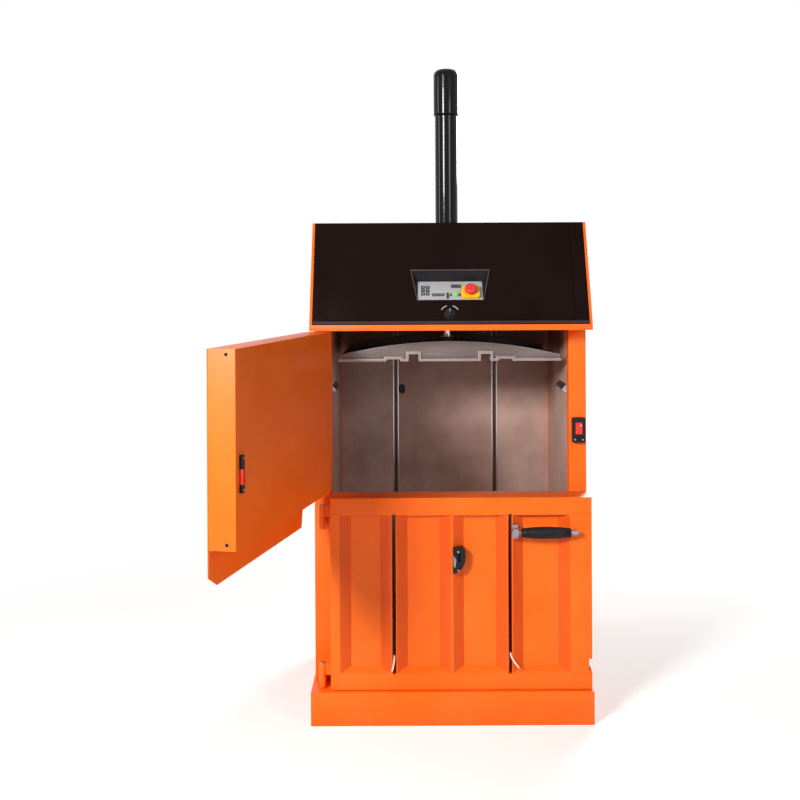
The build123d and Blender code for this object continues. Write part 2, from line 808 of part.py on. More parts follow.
# Ram: chromed rod with its piston, and the flange that bolts to the platen
with BuildPart() as piston_rod:
    with BuildSketch(Plane.XY.offset(rod_flange_low + rod_flange_height)):
        with Locations((0, chamber_mid_y)):
            Circle(rod_radius)
    extrude(amount=rod_top - rod_flange_low - rod_flange_height)
    with BuildSketch(Plane.XY.offset(rod_top)):
        with Locations((0, chamber_mid_y)):
            Circle(bore_radius - fit_clearance)
    extrude(amount=piston_height)
piston_rod.part.label = "piston_rod"

with BuildPart() as rod_flange:
    with BuildSketch(Plane.XY.offset(rod_flange_low)):
        with Locations((0, chamber_mid_y)):
            Circle(rod_flange_radius)
    extrude(amount=rod_flange_height)
    chamfer(rod_flange.edges().group_by(Axis.Z)[-1], rod_flange_chamfer)
rod_flange.part.label = "rod_flange"

# Platen plate: one folded plate with two flat strap channels and two deep notches
platen_half = chamber_width / 2 - platen_gap
platen_front_y = post_front_y + platen_end_gap
platen_length = chamber_depth - 2 * platen_end_gap
plate_t = platen_plate_thickness
platen_folds = [
    (-channel_x, platen_channel),
    (-platen_notch_x, platen_notch),
    (platen_notch_x, platen_notch),
    (channel_x, platen_channel),
]
with BuildPart() as platen_plate:
    with BuildSketch(front_plane(platen_front_y)):
        with Locations((0, platen_low + plate_t / 2)):
            Rectangle(2 * platen_half, plate_t)
        for fold_x, (fold_width, fold_height) in platen_folds:
            with Locations((fold_x, platen_low + (fold_height + plate_t) / 2)):
                Rectangle(fold_width + 2 * plate_t, fold_height + plate_t)
        for fold_x, (fold_width, fold_height) in platen_folds:
            with Locations((fold_x, platen_low + fold_height / 2)):
                Rectangle(fold_width, fold_height, mode=Mode.SUBTRACT)
    extrude(amount=-platen_length)
platen_plate.part.label = "platen_plate"

# Platen webs: bow-shaped cross webs, two long ribs and the pad under the rod
web_low = platen_low + plate_t
web_places = (platen_front_y + web_inset, platen_front_y + platen_length - web_inset - web_thickness)
pad_low = rod_flange_low - mount_pad[2]
web_half = platen_half - web_end_gap
with BuildPart() as platen_webs:
    for web_y in web_places:
        with BuildSketch(front_plane(web_y)):
            with BuildLine():
                Polyline(
                    (web_half, web_low + web_end_height),
                    (web_half, web_low),
                    (-web_half, web_low),
                    (-web_half, web_low + web_end_height),
                )
                ThreePointArc(
                    (-web_half, web_low + web_end_height),
                    (0, web_low + web_crown),
                    (web_half, web_low + web_end_height),
                )
            make_face()
            for fold_x, (fold_width, fold_height) in platen_folds:
                with Locations((fold_x, web_low + fold_height / 2)):
                    Rectangle(fold_width + 2 * plate_t, fold_height, mode=Mode.SUBTRACT)
        extrude(amount=-web_thickness)
    with BuildSketch(front_plane(web_places[0] + web_thickness)):
        with Locations(
            (rib_spread, (web_low + pad_low) / 2),
            (-rib_spread, (web_low + pad_low) / 2),
        ):
            Rectangle(web_thickness, pad_low - web_low)
    extrude(amount=-(web_places[1] - web_places[0] - web_thickness))
    with BuildSketch(Plane.XY.offset(pad_low)):
        with Locations((0, chamber_mid_y)):
            Rectangle(mount_pad[0], mount_pad[1])
    extrude(amount=mount_pad[2])
    with BuildSketch(Plane.XY.offset(web_low)):
        with Locations((0, chamber_mid_y)):
            with GridLocations(0, mount_pad[1] - web_thickness, 1, 2):
                Rectangle(2 * rib_spread - web_thickness, web_thickness)
    extrude(amount=pad_low - web_low)
platen_webs.part.label = "platen_webs"

# Places of the hydraulic power pack on the hood floor
valve_behind = 190.0
valve_mid_y = chamber_mid_y + valve_behind
valve_size = (110.0, 90.0, 96.0)
valve_top = tray_top + valve_size[2]
solenoid_radius = 18.0
solenoid_length = 55.0
solenoid_up = 55.0

# Oil tank with its filler cap
tank_gap = 20.0
tank_side_gap = 40.0
tank_back_gap = 25.0
tank_depth = 200.0
tank_height = 220.0
tank_left = valve_size[0] / 2 + solenoid_length + tank_gap
tank_right = body_width / 2 - tank_side_gap
tank_place = ((tank_left + tank_right) / 2, back_y - tank_back_gap - tank_depth / 2)
tank_corner = 18.0
tank_edge = 12.0
filler_inset = 70.0
filler_radius = 22.0
filler_height = 24.0
with BuildPart() as oil_tank:
    with BuildSketch(Plane.XY.offset(tray_top)):
        with Locations(tank_place):
            RectangleRounded(tank_right - tank_left, tank_depth, tank_corner)
    extrude(amount=tank_height)
    fillet(oil_tank.edges().group_by(Axis.Z)[-1], tank_edge)
    with BuildSketch(Plane.XY.offset(tray_top + tank_height)):
        with Locations((tank_right - filler_inset, tank_place[1])):
            Circle(filler_radius)
    extrude(amount=filler_height)
oil_tank.part.label = "oil_tank"

# Pump motor: a finned body, its end bell and the foot under it
motor_inset = (200.0, 230.0)
motor_x = motor_inset[0] - body_width / 2
motor_front_y = back_y - motor_inset[1]
motor_radius = 68.0
motor_body_radius = 60.0
motor_length = 170.0
motor_bell_length = 35.0
motor_bell_round = 8.0
motor_fin = (18.0, 4.0)
motor_fins = 16
motor_foot = (120.0, 110.0, 20.0)
motor_foot_inset = 30.0
motor_z = tray_top + motor_foot[2] + motor_body_radius
with BuildPart() as pump_motor:
    with BuildSketch(front_plane(motor_front_y)):
        with Locations((motor_x, motor_z)):
            Circle(motor_body_radius)
            with PolarLocations(motor_radius - motor_fin[0] / 2, motor_fins):
                Rectangle(motor_fin[0], motor_fin[1])
    extrude(amount=-motor_length)
    with BuildSketch(front_plane(motor_front_y + motor_length)):
        with Locations((motor_x, motor_z)):
            Circle(motor_radius)
    extrude(amount=-motor_bell_length)
    fillet(pump_motor.edges().group_by(Axis.Y)[-1], motor_bell_round)
    with BuildSketch(front_plane(motor_front_y + motor_foot_inset)):
        with Locations((motor_x, (tray_top + motor_z) / 2)):
            Rectangle(motor_foot[0], motor_z - tray_top)
    extrude(amount=-motor_foot[1])
pump_motor.part.label = "pump_motor"

# Valve block with its solenoid
with BuildPart() as valve_block:
    with BuildSketch(Plane.XY.offset(tray_top)):
        with Locations((0, valve_mid_y)):
            Rectangle(valve_size[0], valve_size[1])
    extrude(amount=valve_size[2])
    with BuildSketch(Plane.YZ.offset(valve_size[0] / 2)):
        with Locations((valve_mid_y, tray_top + solenoid_up)):
            Circle(solenoid_radius)
    extrude(amount=solenoid_length)
valve_block.part.label = "valve_block"

# Electrical box with its lid
box_inset = (160.0, 220.0)
box_place = (box_inset[0] - body_width / 2, front_y + box_inset[1])
box_size = (240.0, 180.0, 120.0)
box_corner = 6.0
lid_over = 3.0
lid_height = 18.0
lid_edge = 4.0
with BuildPart() as electrical_box:
    with BuildSketch(Plane.XY.offset(tray_top)):
        with Locations(box_place):
            RectangleRounded(box_size[0], box_size[1], box_corner)
    extrude(amount=box_size[2])
    with BuildSketch(Plane.XY.offset(tray_top + box_size[2])):
        with Locations(box_place):
            RectangleRounded(box_size[0] + 2 * lid_over, box_size[1] + 2 * lid_over, box_corner + lid_over)
    extrude(amount=lid_height)
    fillet(electrical_box.edges().group_by(Axis.Z)[-1], lid_edge)
electrical_box.part.label = "electrical_box"

# Pressure pipe: from the valve block up to the cap
cap_port_z = cap_low + 30.0
pipe_rise = 90.0
pipe_bends = (30.0, 30.0, 8.0)
with BuildPart() as pressure_pipes:
    with BuildLine():
        FilletPolyline(
            (0, valve_mid_y, valve_top),
            (0, valve_mid_y, valve_top + pipe_rise),
            (0, pipe_y, valve_top + pipe_rise),
            (0, pipe_y, cap_port_z),
            (0, chamber_mid_y + cap_radius, cap_port_z),
            radius=pipe_bends,
        )
    with BuildSketch(Plane.XY.offset(valve_top)):
        with Locations((0, valve_mid_y)):
            Circle(pipe_radius)
    sweep()
pressure_pipes.part.label = "pressure_pipes"

# Door interlock on the right post
interlock_size = (43.0, 22.0, 82.0)
interlock_shift = 2.0
interlock_x = post_x + interlock_shift
interlock_z = bale_top + interlock_rise
interlock_corner = 3.0
interlock_side = 9.0
interlock_foot = 28.0
interlock_cut = 8.0
with BuildPart() as door_interlock:
    with BuildSketch(front_plane(post_front_y)):
        with Locations((interlock_x, interlock_z)):
            RectangleRounded(interlock_size[0], interlock_size[2], interlock_corner)
    extrude(amount=interlock_size[1])
    with BuildSketch(front_plane(post_front_y - interlock_size[1] + interlock_cut)):
        with Locations((interlock_x, interlock_z + interlock_foot / 2)):
            Rectangle(interlock_size[0] - 2 * interlock_side, interlock_size[2] - interlock_foot)
    extrude(amount=interlock_cut, mode=Mode.SUBTRACT)
door_interlock.part.label = "door_interlock"

# The coloured head of the interlock, in the lower part of its recess
head_gap = 1.0
head_height = 38.0
head_proud = 1.5
head_edge = 1.5
head_mid_z = interlock_z - interlock_size[2] / 2 + interlock_foot + head_height / 2
with BuildPart() as interlock_head:
    with BuildSketch(front_plane(post_front_y - interlock_size[1] + interlock_cut)):
        with Locations((interlock_x, head_mid_z)):
            Rectangle(interlock_size[0] - 2 * interlock_side - 2 * head_gap, head_height)
    extrude(amount=interlock_cut + head_proud)
    fillet(interlock_head.edges().group_by(Axis.Y)[0], head_edge)
interlock_head.part.label = "interlock_head"

# Hinge brackets on the left post: plate, lower knuckle and the fixed pin
with BuildPart() as hinge_brackets:
    for hinge_z in bale_hinge_heights + loading_hinge_heights:
        with BuildSketch(Plane.XY.offset(hinge_z)):
            with Locations((hinge_x, (hinge_y + post_front_y) / 2)):
                Rectangle(hinge_leaf, hinge_out)
            with Locations((hinge_x, hinge_y)):
                Circle(knuckle_radius)
        extrude(amount=knuckle_length)
        with BuildSketch(Plane.XY.offset(hinge_z + knuckle_length)):
            with Locations((hinge_x, hinge_y)):
                Circle(hinge_pin_radius)
        extrude(amount=knuckle_length + knuckle_gap)
hinge_brackets.part.label = "hinge_brackets"

# Upper knuckles that ride on the pins
with BuildPart() as bale_door_knuckles:
    for hinge_z in bale_hinge_heights:
        with BuildSketch(Plane.XY.offset(hinge_z + knuckle_length + knuckle_gap)):
            with Locations(((hinge_x + bale_left) / 2, hinge_y)):
                Rectangle(bale_left - hinge_x, hinge_leaf)
            with Locations((hinge_x, hinge_y)):
                Circle(knuckle_radius)
                Circle(hinge_pin_radius + pin_clearance, mode=Mode.SUBTRACT)
        extrude(amount=knuckle_length)
bale_door_knuckles.part.label = "bale_door_knuckles"

with BuildPart() as loading_door_knuckles:
    for hinge_z in loading_hinge_heights:
        with BuildSketch(door_frame.offset(hinge_z + knuckle_length + knuckle_gap)):
            with Locations((door_edge / 2, 0)):
                Rectangle(door_edge, hinge_leaf)
            Circle(knuckle_radius)
            Circle(hinge_pin_radius + pin_clearance, mode=Mode.SUBTRACT)
        extrude(amount=knuckle_length)
loading_door_knuckles.part.label = "loading_door_knuckles"

# Loading door: the outer panel with its skirt, and the tray behind it
door_top = hood_low - door_top_gap
panel_outline = [
    (door_edge, door_top),
    (door_length, door_top),
    (door_length, skirt_low + skirt_corner[1]),
    (door_length - skirt_corner[0], skirt_low),
    (notch_length, skirt_low),
    (notch_length - notch_step, skirt_low + notch_rises[0]),
    (notch_top, skirt_low + notch_rises[0]),
    (door_edge, skirt_low + notch_rises[1]),
]
with BuildPart() as loading_door_panel:
    with BuildSketch(door_face(-door_outer + thin_sheet)):
        Polygon(*panel_outline, align=None)
    extrude(amount=thin_sheet)
loading_door_panel.part.label = "loading_door_panel"

tray_mid_u = (door_edge + door_length) / 2
tray_mid_z = (door_low + door_top) / 2
with BuildPart() as loading_door_tray:
    with BuildSketch(door_face(door_inner)):
        with Locations((tray_mid_u, tray_mid_z)):
            Rectangle(door_length - door_edge, door_top - door_low)
    extrude(amount=door_inner + door_outer - thin_sheet)
    fillet(loading_door_tray.edges().filter_by(Axis.Z), bend_radius / 2)
    with BuildSketch(door_face(door_inner - door_sheet)):
        with Locations((tray_mid_u, tray_mid_z)):
            Rectangle(door_length - door_edge - 2 * door_sheet, door_top - door_low - 2 * door_sheet)
    extrude(amount=door_inner + door_outer, mode=Mode.SUBTRACT)
loading_door_tray.part.label = "loading_door_tray"

# Interlock actuator on the inside of the loading door, near its free edge
actuator_size = (18.0, 9.0, 98.0)
actuator_inset = 34.0
actuator_u = door_length - actuator_inset
actuator_lift = 9.0
actuator_z = interlock_z + actuator_lift
actuator_corner = 3.0
with BuildPart() as door_actuator:
    with BuildSketch(door_face(door_inner)):
        with Locations((actuator_u, actuator_z)):
            RectangleRounded(actuator_size[0], actuator_size[2], actuator_corner)
    extrude(amount=-actuator_size[1])
door_actuator.part.label = "door_actuator"

# Bale door frame: one welded ring of folded rails and stiles, open at the back
bale_width = bale_right - bale_left
bale_mid_x = (bale_left + bale_right) / 2
bale_mid_z = (bale_low + bale_top) / 2
window_left = bale_left + bale_left_stile
window_right = bale_right - bale_right_stile
window_low = bale_low + bale_bottom_rail
window_high = bale_top - bale_top_rail
window_mid_x = (window_left + window_right) / 2
window_mid_z = (window_low + window_high) / 2
window_width = window_right - window_left
window_height = window_high - window_low
with BuildPart() as bale_door_frame:
    with BuildSketch(front_plane(bale_liner_y)):
        with Locations((bale_mid_x, bale_mid_z)):
            Rectangle(bale_width, bale_top - bale_low)
        with Locations((window_mid_x, window_mid_z)):
            Rectangle(window_width, window_height, mode=Mode.SUBTRACT)
    extrude(amount=bale_liner_y - bale_front_y)
    with BuildSketch(front_plane(bale_liner_y)):
        with Locations((bale_mid_x, bale_mid_z)):
            Rectangle(bale_width - 2 * thin_sheet, bale_top - bale_low - 2 * thin_sheet)
        with Locations((window_mid_x, window_mid_z)):
            Rectangle(
                window_width + 2 * thin_sheet,
                window_height + 2 * thin_sheet,
                mode=Mode.SUBTRACT,
            )
    extrude(amount=bale_liner_y - bale_front_y - thin_sheet, mode=Mode.SUBTRACT)
    with BuildSketch(Plane.XY.offset(bale_low)):
        with Locations((bolt_x, bolt_y)):
            Circle(bolt_radius + bolt_clearance)
    extrude(amount=bale_bottom_rail, mode=Mode.SUBTRACT)
    with BuildSketch(front_plane(bale_liner_y)):
        with Locations((bale_right - stile_notch[0] / 2, bale_low + stile_notch_rise)):
            Rectangle(*stile_notch)
    extrude(amount=bale_liner_y - bale_front_y, mode=Mode.SUBTRACT)
bale_door_frame.part.label = "bale_door_frame"


def pan_recess(left, right, grown):
    """The tapered recess of one pan, grown on all sides by the sheet behind it."""
    with BuildPart() as recess:
        with BuildSketch(front_plane(bale_front_y)):
            with Locations(((left + right) / 2, window_mid_z)):
                Rectangle(right - left + 2 * grown, window_height - 2 * pan_margin + 2 * grown)
        with BuildSketch(front_plane(bale_front_y + pan_depth + grown)):
            with Locations(((left + right) / 2, window_mid_z + (pan_bottom_flank - pan_top_flank) / 2)):
                Rectangle(
                    right - left - 2 * pan_flank + 2 * grown,
                    window_height - 2 * pan_margin - pan_bottom_flank - pan_top_flank + 2 * grown,
                )
        loft()
    return recess.part


slot_inner = channel_x - slot_width / 2
slot_outer = channel_x + slot_width / 2
panel_depth = bale_liner_y - bale_front_y


def panel_hollow(left, right, pans):
    """The space inside a pressed panel, behind its sheet and its pans."""
    with BuildPart() as hollow:
        with BuildSketch(front_plane(bale_liner_y)):
            with Locations(((left + right) / 2, window_mid_z)):
                Rectangle(right - left - 2 * thin_sheet, window_height - 2 * thin_sheet)
        extrude(amount=panel_depth - thin_sheet)
        for pan_left, pan_right in pans:
            add(pan_recess(pan_left, pan_right, thin_sheet), mode=Mode.SUBTRACT)
    return hollow.part


# Pressed panels of the bale door: the strap slots are the gaps between them
left_pan = (window_left + pan_margin, -slot_outer - pan_margin)
middle_pans = [(-slot_inner + pan_margin, -ridge_half), (ridge_half, slot_inner - pan_margin)]
right_pan = (slot_outer + pan_margin, window_right - pan_margin)
with BuildPart() as bale_door_panel_left:
    with BuildSketch(front_plane(bale_liner_y)):
        with Locations(((window_left - slot_outer) / 2, window_mid_z)):
            Rectangle(-slot_outer - window_left, window_height)
    extrude(amount=panel_depth)
    add(panel_hollow(window_left, -slot_outer, [left_pan]), mode=Mode.SUBTRACT)
    add(pan_recess(*left_pan, 0), mode=Mode.SUBTRACT)
bale_door_panel_left.part.label = "bale_door_panel_left"

with BuildPart() as bale_door_panel_middle:
    with BuildSketch(front_plane(bale_liner_y)):
        with Locations((0, window_mid_z)):
            Rectangle(2 * slot_inner, window_height)
    extrude(amount=panel_depth)
    add(panel_hollow(-slot_inner, slot_inner, middle_pans), mode=Mode.SUBTRACT)
    for middle_pan in middle_pans:
        add(pan_recess(*middle_pan, 0), mode=Mode.SUBTRACT)
bale_door_panel_middle.part.label = "bale_door_panel_middle"

with BuildPart() as bale_door_panel_right:
    with BuildSketch(front_plane(bale_liner_y)):
        with Locations(((slot_outer + window_right) / 2, window_mid_z)):
            Rectangle(window_right - slot_outer, window_height)
    extrude(amount=panel_depth)
    add(panel_hollow(slot_outer, window_right, [right_pan]), mode=Mode.SUBTRACT)
    add(pan_recess(*right_pan, 0), mode=Mode.SUBTRACT)
    with BuildSketch(Plane.XY.offset(window_low)):
        with Locations((bolt_x, bolt_y)):
            Circle(bolt_radius + bolt_clearance)
    extrude(amount=thin_sheet, mode=Mode.SUBTRACT)
    with BuildSketch(front_plane(bale_front_y + pan_depth)):
        with Locations((lever_x, lever_z)):
            Circle(lever_shaft_radius + bolt_clearance)
    extrude(amount=pan_depth, mode=Mode.SUBTRACT)
bale_door_panel_right.part.label = "bale_door_panel_right"

# Liner: the flat plate that faces the bale, with the two strap slots cut through
with BuildPart() as bale_door_liner:
    with BuildSketch(front_plane(bale_back_y)):
        with Locations((bale_mid_x, bale_mid_z)):
            Rectangle(bale_width, bale_top - bale_low)
        with Locations((-channel_x, window_mid_z), (channel_x, window_mid_z)):
            Rectangle(slot_width, window_height, mode=Mode.SUBTRACT)
        with Locations((bale_right - stile_notch[0] / 2, bale_low + stile_notch_rise)):
            Rectangle(*stile_notch, mode=Mode.SUBTRACT)
    extrude(amount=liner_plate)
bale_door_liner.part.label = "bale_door_liner"

# Bracket of the lever: a steel block that follows the flank of the right pan
bracket_width = 18.0
bracket_height = 44.0
bracket_out = 14.0
flank_run = pan_flank / pan_depth
with BuildPart() as lever_bracket:
    with BuildSketch(Plane.XY.offset(lever_z - bracket_height / 2)):
        Polygon(
            (lever_x - bracket_width / 2, bale_front_y - bracket_out),
            (lever_x + bracket_width / 2, bale_front_y - bracket_out),
            (
                lever_x + bracket_width / 2,
                bale_front_y + (lever_x + bracket_width / 2 - right_pan[0]) / flank_run,
            ),
            (right_pan[0], bale_front_y),
            (lever_x - bracket_width / 2, bale_front_y),
            align=None,
        )
    extrude(amount=bracket_height)
    with BuildSketch(front_plane(bale_front_y + pan_depth)):
        with Locations((lever_x, lever_z)):
            Circle(lever_shaft_radius + pin_clearance)
    extrude(amount=pan_depth + bracket_out, mode=Mode.SUBTRACT)
lever_bracket.part.label = "lever_bracket"

# Lever: hub, bar with a bare tip, shaft through the door and the crank inside it
lever_y = bale_front_y - lever_out
hub_back_y = bale_front_y - bracket_out - running_gap
crank_y = bolt_y - bolt_radius - crank_gap - crank_thickness
pin_x = lever_x + crank_radius * cos(radians(crank_angle))
pin_z = lever_z + crank_radius * sin(radians(crank_angle))
with BuildPart() as latch_lever:
    with BuildSketch(front_plane(hub_back_y)):
        with Locations((lever_x, lever_z)):
            Circle(lever_hub_radius)
    extrude(amount=lever_hub_length)
    chamfer(latch_lever.edges().group_by(Axis.Y)[0], lever_hub_chamfer)
    with BuildSketch(Plane.YZ.offset(lever_x)):
        with Locations((lever_y, lever_z)):
            Circle(lever_bar_radius)
    extrude(amount=lever_arm)
    with BuildSketch(Plane.YZ.offset(lever_x + lever_arm - lever_cap_length)):
        with Locations((lever_y, lever_z)):
            Circle(lever_cap_radius)
    extrude(amount=lever_cap_length)
    fillet(latch_lever.edges().group_by(Axis.X)[-1], lever_cap_round)
    with BuildSketch(front_plane(crank_y)):
        with Locations((lever_x, lever_z)):
            Circle(lever_shaft_radius)
    extrude(amount=crank_y - hub_back_y)
    with BuildSketch(front_plane(crank_y + crank_thickness)):
        with Locations((lever_x, lever_z)):
            Circle(lever_shaft_radius + crank_hub_wall)
        with Locations((pin_x, pin_z)):
            Circle(crank_pin_radius + crank_eye_wall)
        make_hull()
    extrude(amount=crank_thickness)
    with BuildSketch(front_plane(bolt_y + yoke_thickness / 2)):
        with Locations((pin_x, pin_z)):
            Circle(crank_pin_radius)
    extrude(amount=bolt_y + yoke_thickness / 2 - crank_y - crank_thickness)
latch_lever.part.label = "latch_lever"

grip_x = lever_x + grip_start
with BuildPart() as lever_grip:
    with BuildSketch(Plane.XY.offset(lever_z)):
        with BuildLine():
            Polyline(
                (grip_x, lever_y + lever_bar_radius),
                (grip_x, lever_y + grip_radii[0]),
            )
            ThreePointArc(
                (grip_x, lever_y + grip_radii[0]),
                (grip_x + grip_length * 0.5, lever_y + grip_radii[1]),
                (grip_x + grip_length, lever_y + grip_radii[2]),
            )
            Polyline(
                (grip_x + grip_length, lever_y + grip_radii[2]),
                (grip_x + grip_length, lever_y + lever_bar_radius),
                (grip_x, lever_y + lever_bar_radius),
            )
        make_face()
    revolve(axis=Axis((0, lever_y, lever_z), (1, 0, 0)))
lever_grip.part.label = "lever_grip"

# Lock bolt: a round rod with a slotted yoke that the crank pin moves down
yoke_low = pin_z - yoke_height / 2
yoke_x = (pin_x + lever_x + crank_radius) / 2
with BuildPart() as lock_bolt:
    with BuildSketch(Plane.XY.offset(bolt_rest_low)):
        with Locations((bolt_x, bolt_y)):
            Circle(bolt_radius)
    extrude(amount=yoke_low - bolt_rest_low)
    chamfer(lock_bolt.edges().group_by(Axis.Z)[0], bolt_chamfer)
    with BuildSketch(front_plane(bolt_y + yoke_thickness / 2)):
        with Locations((yoke_x, pin_z)):
            Rectangle(yoke_width, yoke_height)
            Rectangle(yoke_slot[0], yoke_slot[1], mode=Mode.SUBTRACT)
    extrude(amount=yoke_thickness)
lock_bolt.part.label = "lock_bolt"

# Twine cutter: a moulded hook beside the middle ridge, straight on its left side
cutter_left = 3.0
cutter_width = 40.0
cutter_drop = 158.0
cutter_height = 84.0
cutter_high = bale_top - cutter_drop
cutter_low = cutter_high - cutter_height
cutter_out = 18.0
cutter_corner = (8.0, 10.0)
cutter_side = 34.0
cutter_belly = (28.0, 18.0)
cutter_edge = 3.0
cutter_back = 1.0
cutter_slot = (30.0, 6.0)
cutter_slot_place = (20.0, 30.0)
middle_flank_left = middle_pans[1][0]
with BuildPart() as twine_cutter:
    with BuildSketch(front_plane(bale_front_y + pan_depth)):
        with BuildLine():
            Polyline(
                (cutter_left, cutter_low),
                (cutter_left, cutter_high),
                (cutter_left + cutter_width - cutter_corner[0], cutter_high),
                (cutter_left + cutter_width, cutter_high - cutter_corner[1]),
                (cutter_left + cutter_width, cutter_high - cutter_side),
            )
            ThreePointArc(
                (cutter_left + cutter_width, cutter_high - cutter_side),
                (cutter_left + cutter_belly[0], cutter_low + cutter_belly[1]),
                (cutter_left, cutter_low),
            )
        make_face()
    extrude(amount=pan_depth + cutter_out)
    with BuildSketch(Plane.XY.offset(cutter_low)):
        Polygon(
            (cutter_left - cutter_back, bale_front_y),
            (middle_flank_left, bale_front_y),
            (middle_flank_left + pan_flank, bale_front_y + pan_depth),
            (middle_flank_left + pan_flank, bale_front_y + pan_depth + cutter_back),
            (cutter_left - cutter_back, bale_front_y + pan_depth + cutter_back),
            align=None,
        )
    extrude(amount=cutter_height, mode=Mode.SUBTRACT)
    fillet(twine_cutter.edges().group_by(Axis.Y)[0], cutter_edge)
    with BuildSketch(front_plane(bale_front_y)):
        with Locations((cutter_left + cutter_slot_place[0], cutter_high - cutter_slot_place[1])):
            SlotOverall(cutter_slot[0], cutter_slot[1], rotation=90)
    extrude(amount=cutter_out, mode=Mode.SUBTRACT)
twine_cutter.part.label = "twine_cutter"

# Retainer claws: a bar with a hooked nose on a pin between the wall's lugs
claw_tip_x = claw_pivot_x - claw_reach
claw_tip_z = claw_pivot_z - claw_drop
with BuildPart() as retainer_claw_left:
    with BuildSketch(front_plane(claw_slot_y + claw_length / 2)):
        with BuildLine():
            Polyline(
                (-claw_pivot_x - claw_back, claw_pivot_z + claw_back),
                (-claw_pivot_x + claw_crown, claw_pivot_z + claw_back),
                (-claw_tip_x, claw_tip_z + claw_toe),
                (-claw_tip_x, claw_tip_z),
                (-claw_pivot_x + claw_throat, claw_tip_z),
                (-claw_pivot_x - claw_back, claw_pivot_z - claw_heel),
                close=True,
            )
        make_face()
    extrude(amount=claw_length)
    with BuildSketch(front_plane(claw_slot_y + claw_slot_length / 2 + claw_lug)):
        with Locations((-claw_pivot_x, claw_pivot_z)):
            Circle(claw_pin_radius)
    extrude(amount=claw_slot_length + 2 * claw_lug)
retainer_claw_left.part.label = "retainer_claw_left"

with BuildPart() as retainer_claw_right:
    mirror(retainer_claw_left.part, about=Plane.YZ)
retainer_claw_right.part.label = "retainer_claw_right"

# Strap tails: the loose ends that hang out of the bale door's slots
tail_radius = 3.0
arc_share = 0.45
tail_inner_y = bale_front_y + 45.0
tail_routes = {
    "strap_tail_left": [
        (-channel_x, tail_inner_y, window_low),
        (-channel_x, tail_inner_y, window_low + 36),
        (-channel_x, bale_front_y + 12, window_low + 62),
        (-channel_x + 1, bale_front_y - 12, window_low + 48),
        (-channel_x - 7, bale_front_y - 14, window_low + 14),
    ],
    "strap_tail_right": [
        (channel_x, tail_inner_y, window_low),
        (channel_x, tail_inner_y, window_low + 40),
        (channel_x, bale_front_y + 12, window_low + 70),
        (channel_x + 3, bale_front_y - 12, window_low + 52),
        (channel_x + 26, bale_front_y - 13, window_low + 24),
    ],
}


def bend_radii(route):
    """An arc for each corner of a route, as large as its two runs allow."""
    radii = []
    for before, corner, after in zip(route, route[1:], route[2:]):
        run_in = Vector(*corner) - Vector(*before)
        run_out = Vector(*after) - Vector(*corner)
        half_turn = radians(run_in.get_angle(run_out) / 2)
        radii.append(arc_share * min(run_in.length, run_out.length) / (sin(half_turn) / cos(half_turn)))
    return radii


with BuildPart() as strap_tail_left:
    with BuildLine():
        FilletPolyline(*tail_routes["strap_tail_left"], radius=bend_radii(tail_routes["strap_tail_left"]))
    with BuildSketch(Plane.XY.offset(window_low)):
        with Locations((-channel_x, tail_inner_y)):
            Circle(tail_radius)
    sweep()
strap_tail_left.part.label = "strap_tail_left"

with BuildPart() as strap_tail_right:
    with BuildLine():
        FilletPolyline(*tail_routes["strap_tail_right"], radius=bend_radii(tail_routes["strap_tail_right"]))
    with BuildSketch(Plane.XY.offset(window_low)):
        with Locations((channel_x, tail_inner_y)):
            Circle(tail_radius)
    sweep()
strap_tail_right.part.label = "strap_tail_right"
for tail_name, tail_route in tail_routes.items():
    print(tail_name, "arc radii", [round(radius, 1) for radius in bend_radii(tail_route)])

pieces = [
    base_frame, chamber_floor, front_posts, rear_posts,
    left_wall, right_wall, back_wall, rear_panel, chamber_sensor,
    hood_floor, hood_cheek_left, hood_cheek_right, hood_cover, hood_top, hood_rear_panel,
    cable_gland, control_pocket, control_plate,
    estop_base, estop_button, start_button, selector_bezel, selector_knob,
    cylinder_beams, cylinder_flange, flange_bolts, cylinder_barrel, cylinder_gland, cylinder_cap,
    piston_rod, rod_flange, platen_plate, platen_webs,
    oil_tank, pump_motor, valve_block, electrical_box, pressure_pipes,
    door_interlock, interlock_head, hinge_brackets, bale_door_knuckles, loading_door_knuckles,
    loading_door_panel, loading_door_tray, door_actuator,
    bale_door_frame, bale_door_panel_left, bale_door_panel_middle, bale_door_panel_right,
    bale_door_liner, lever_bracket, latch_lever, lever_grip, lock_bolt, twine_cutter,
    retainer_claw_left, retainer_claw_right, strap_tail_left, strap_tail_right,
]
os.makedirs("parts", exist_ok=True)
for piece in pieces:
    export_step(piece.part, f"parts/{piece.part.label}.step")
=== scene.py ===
"""An upright recycling baler: its finishes, fine detail, light and camera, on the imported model."""

from __future__ import annotations

import json
import logging
import math
from dataclasses import dataclass, field
from enum import Enum
from typing import Any, Callable, Iterable, Sequence

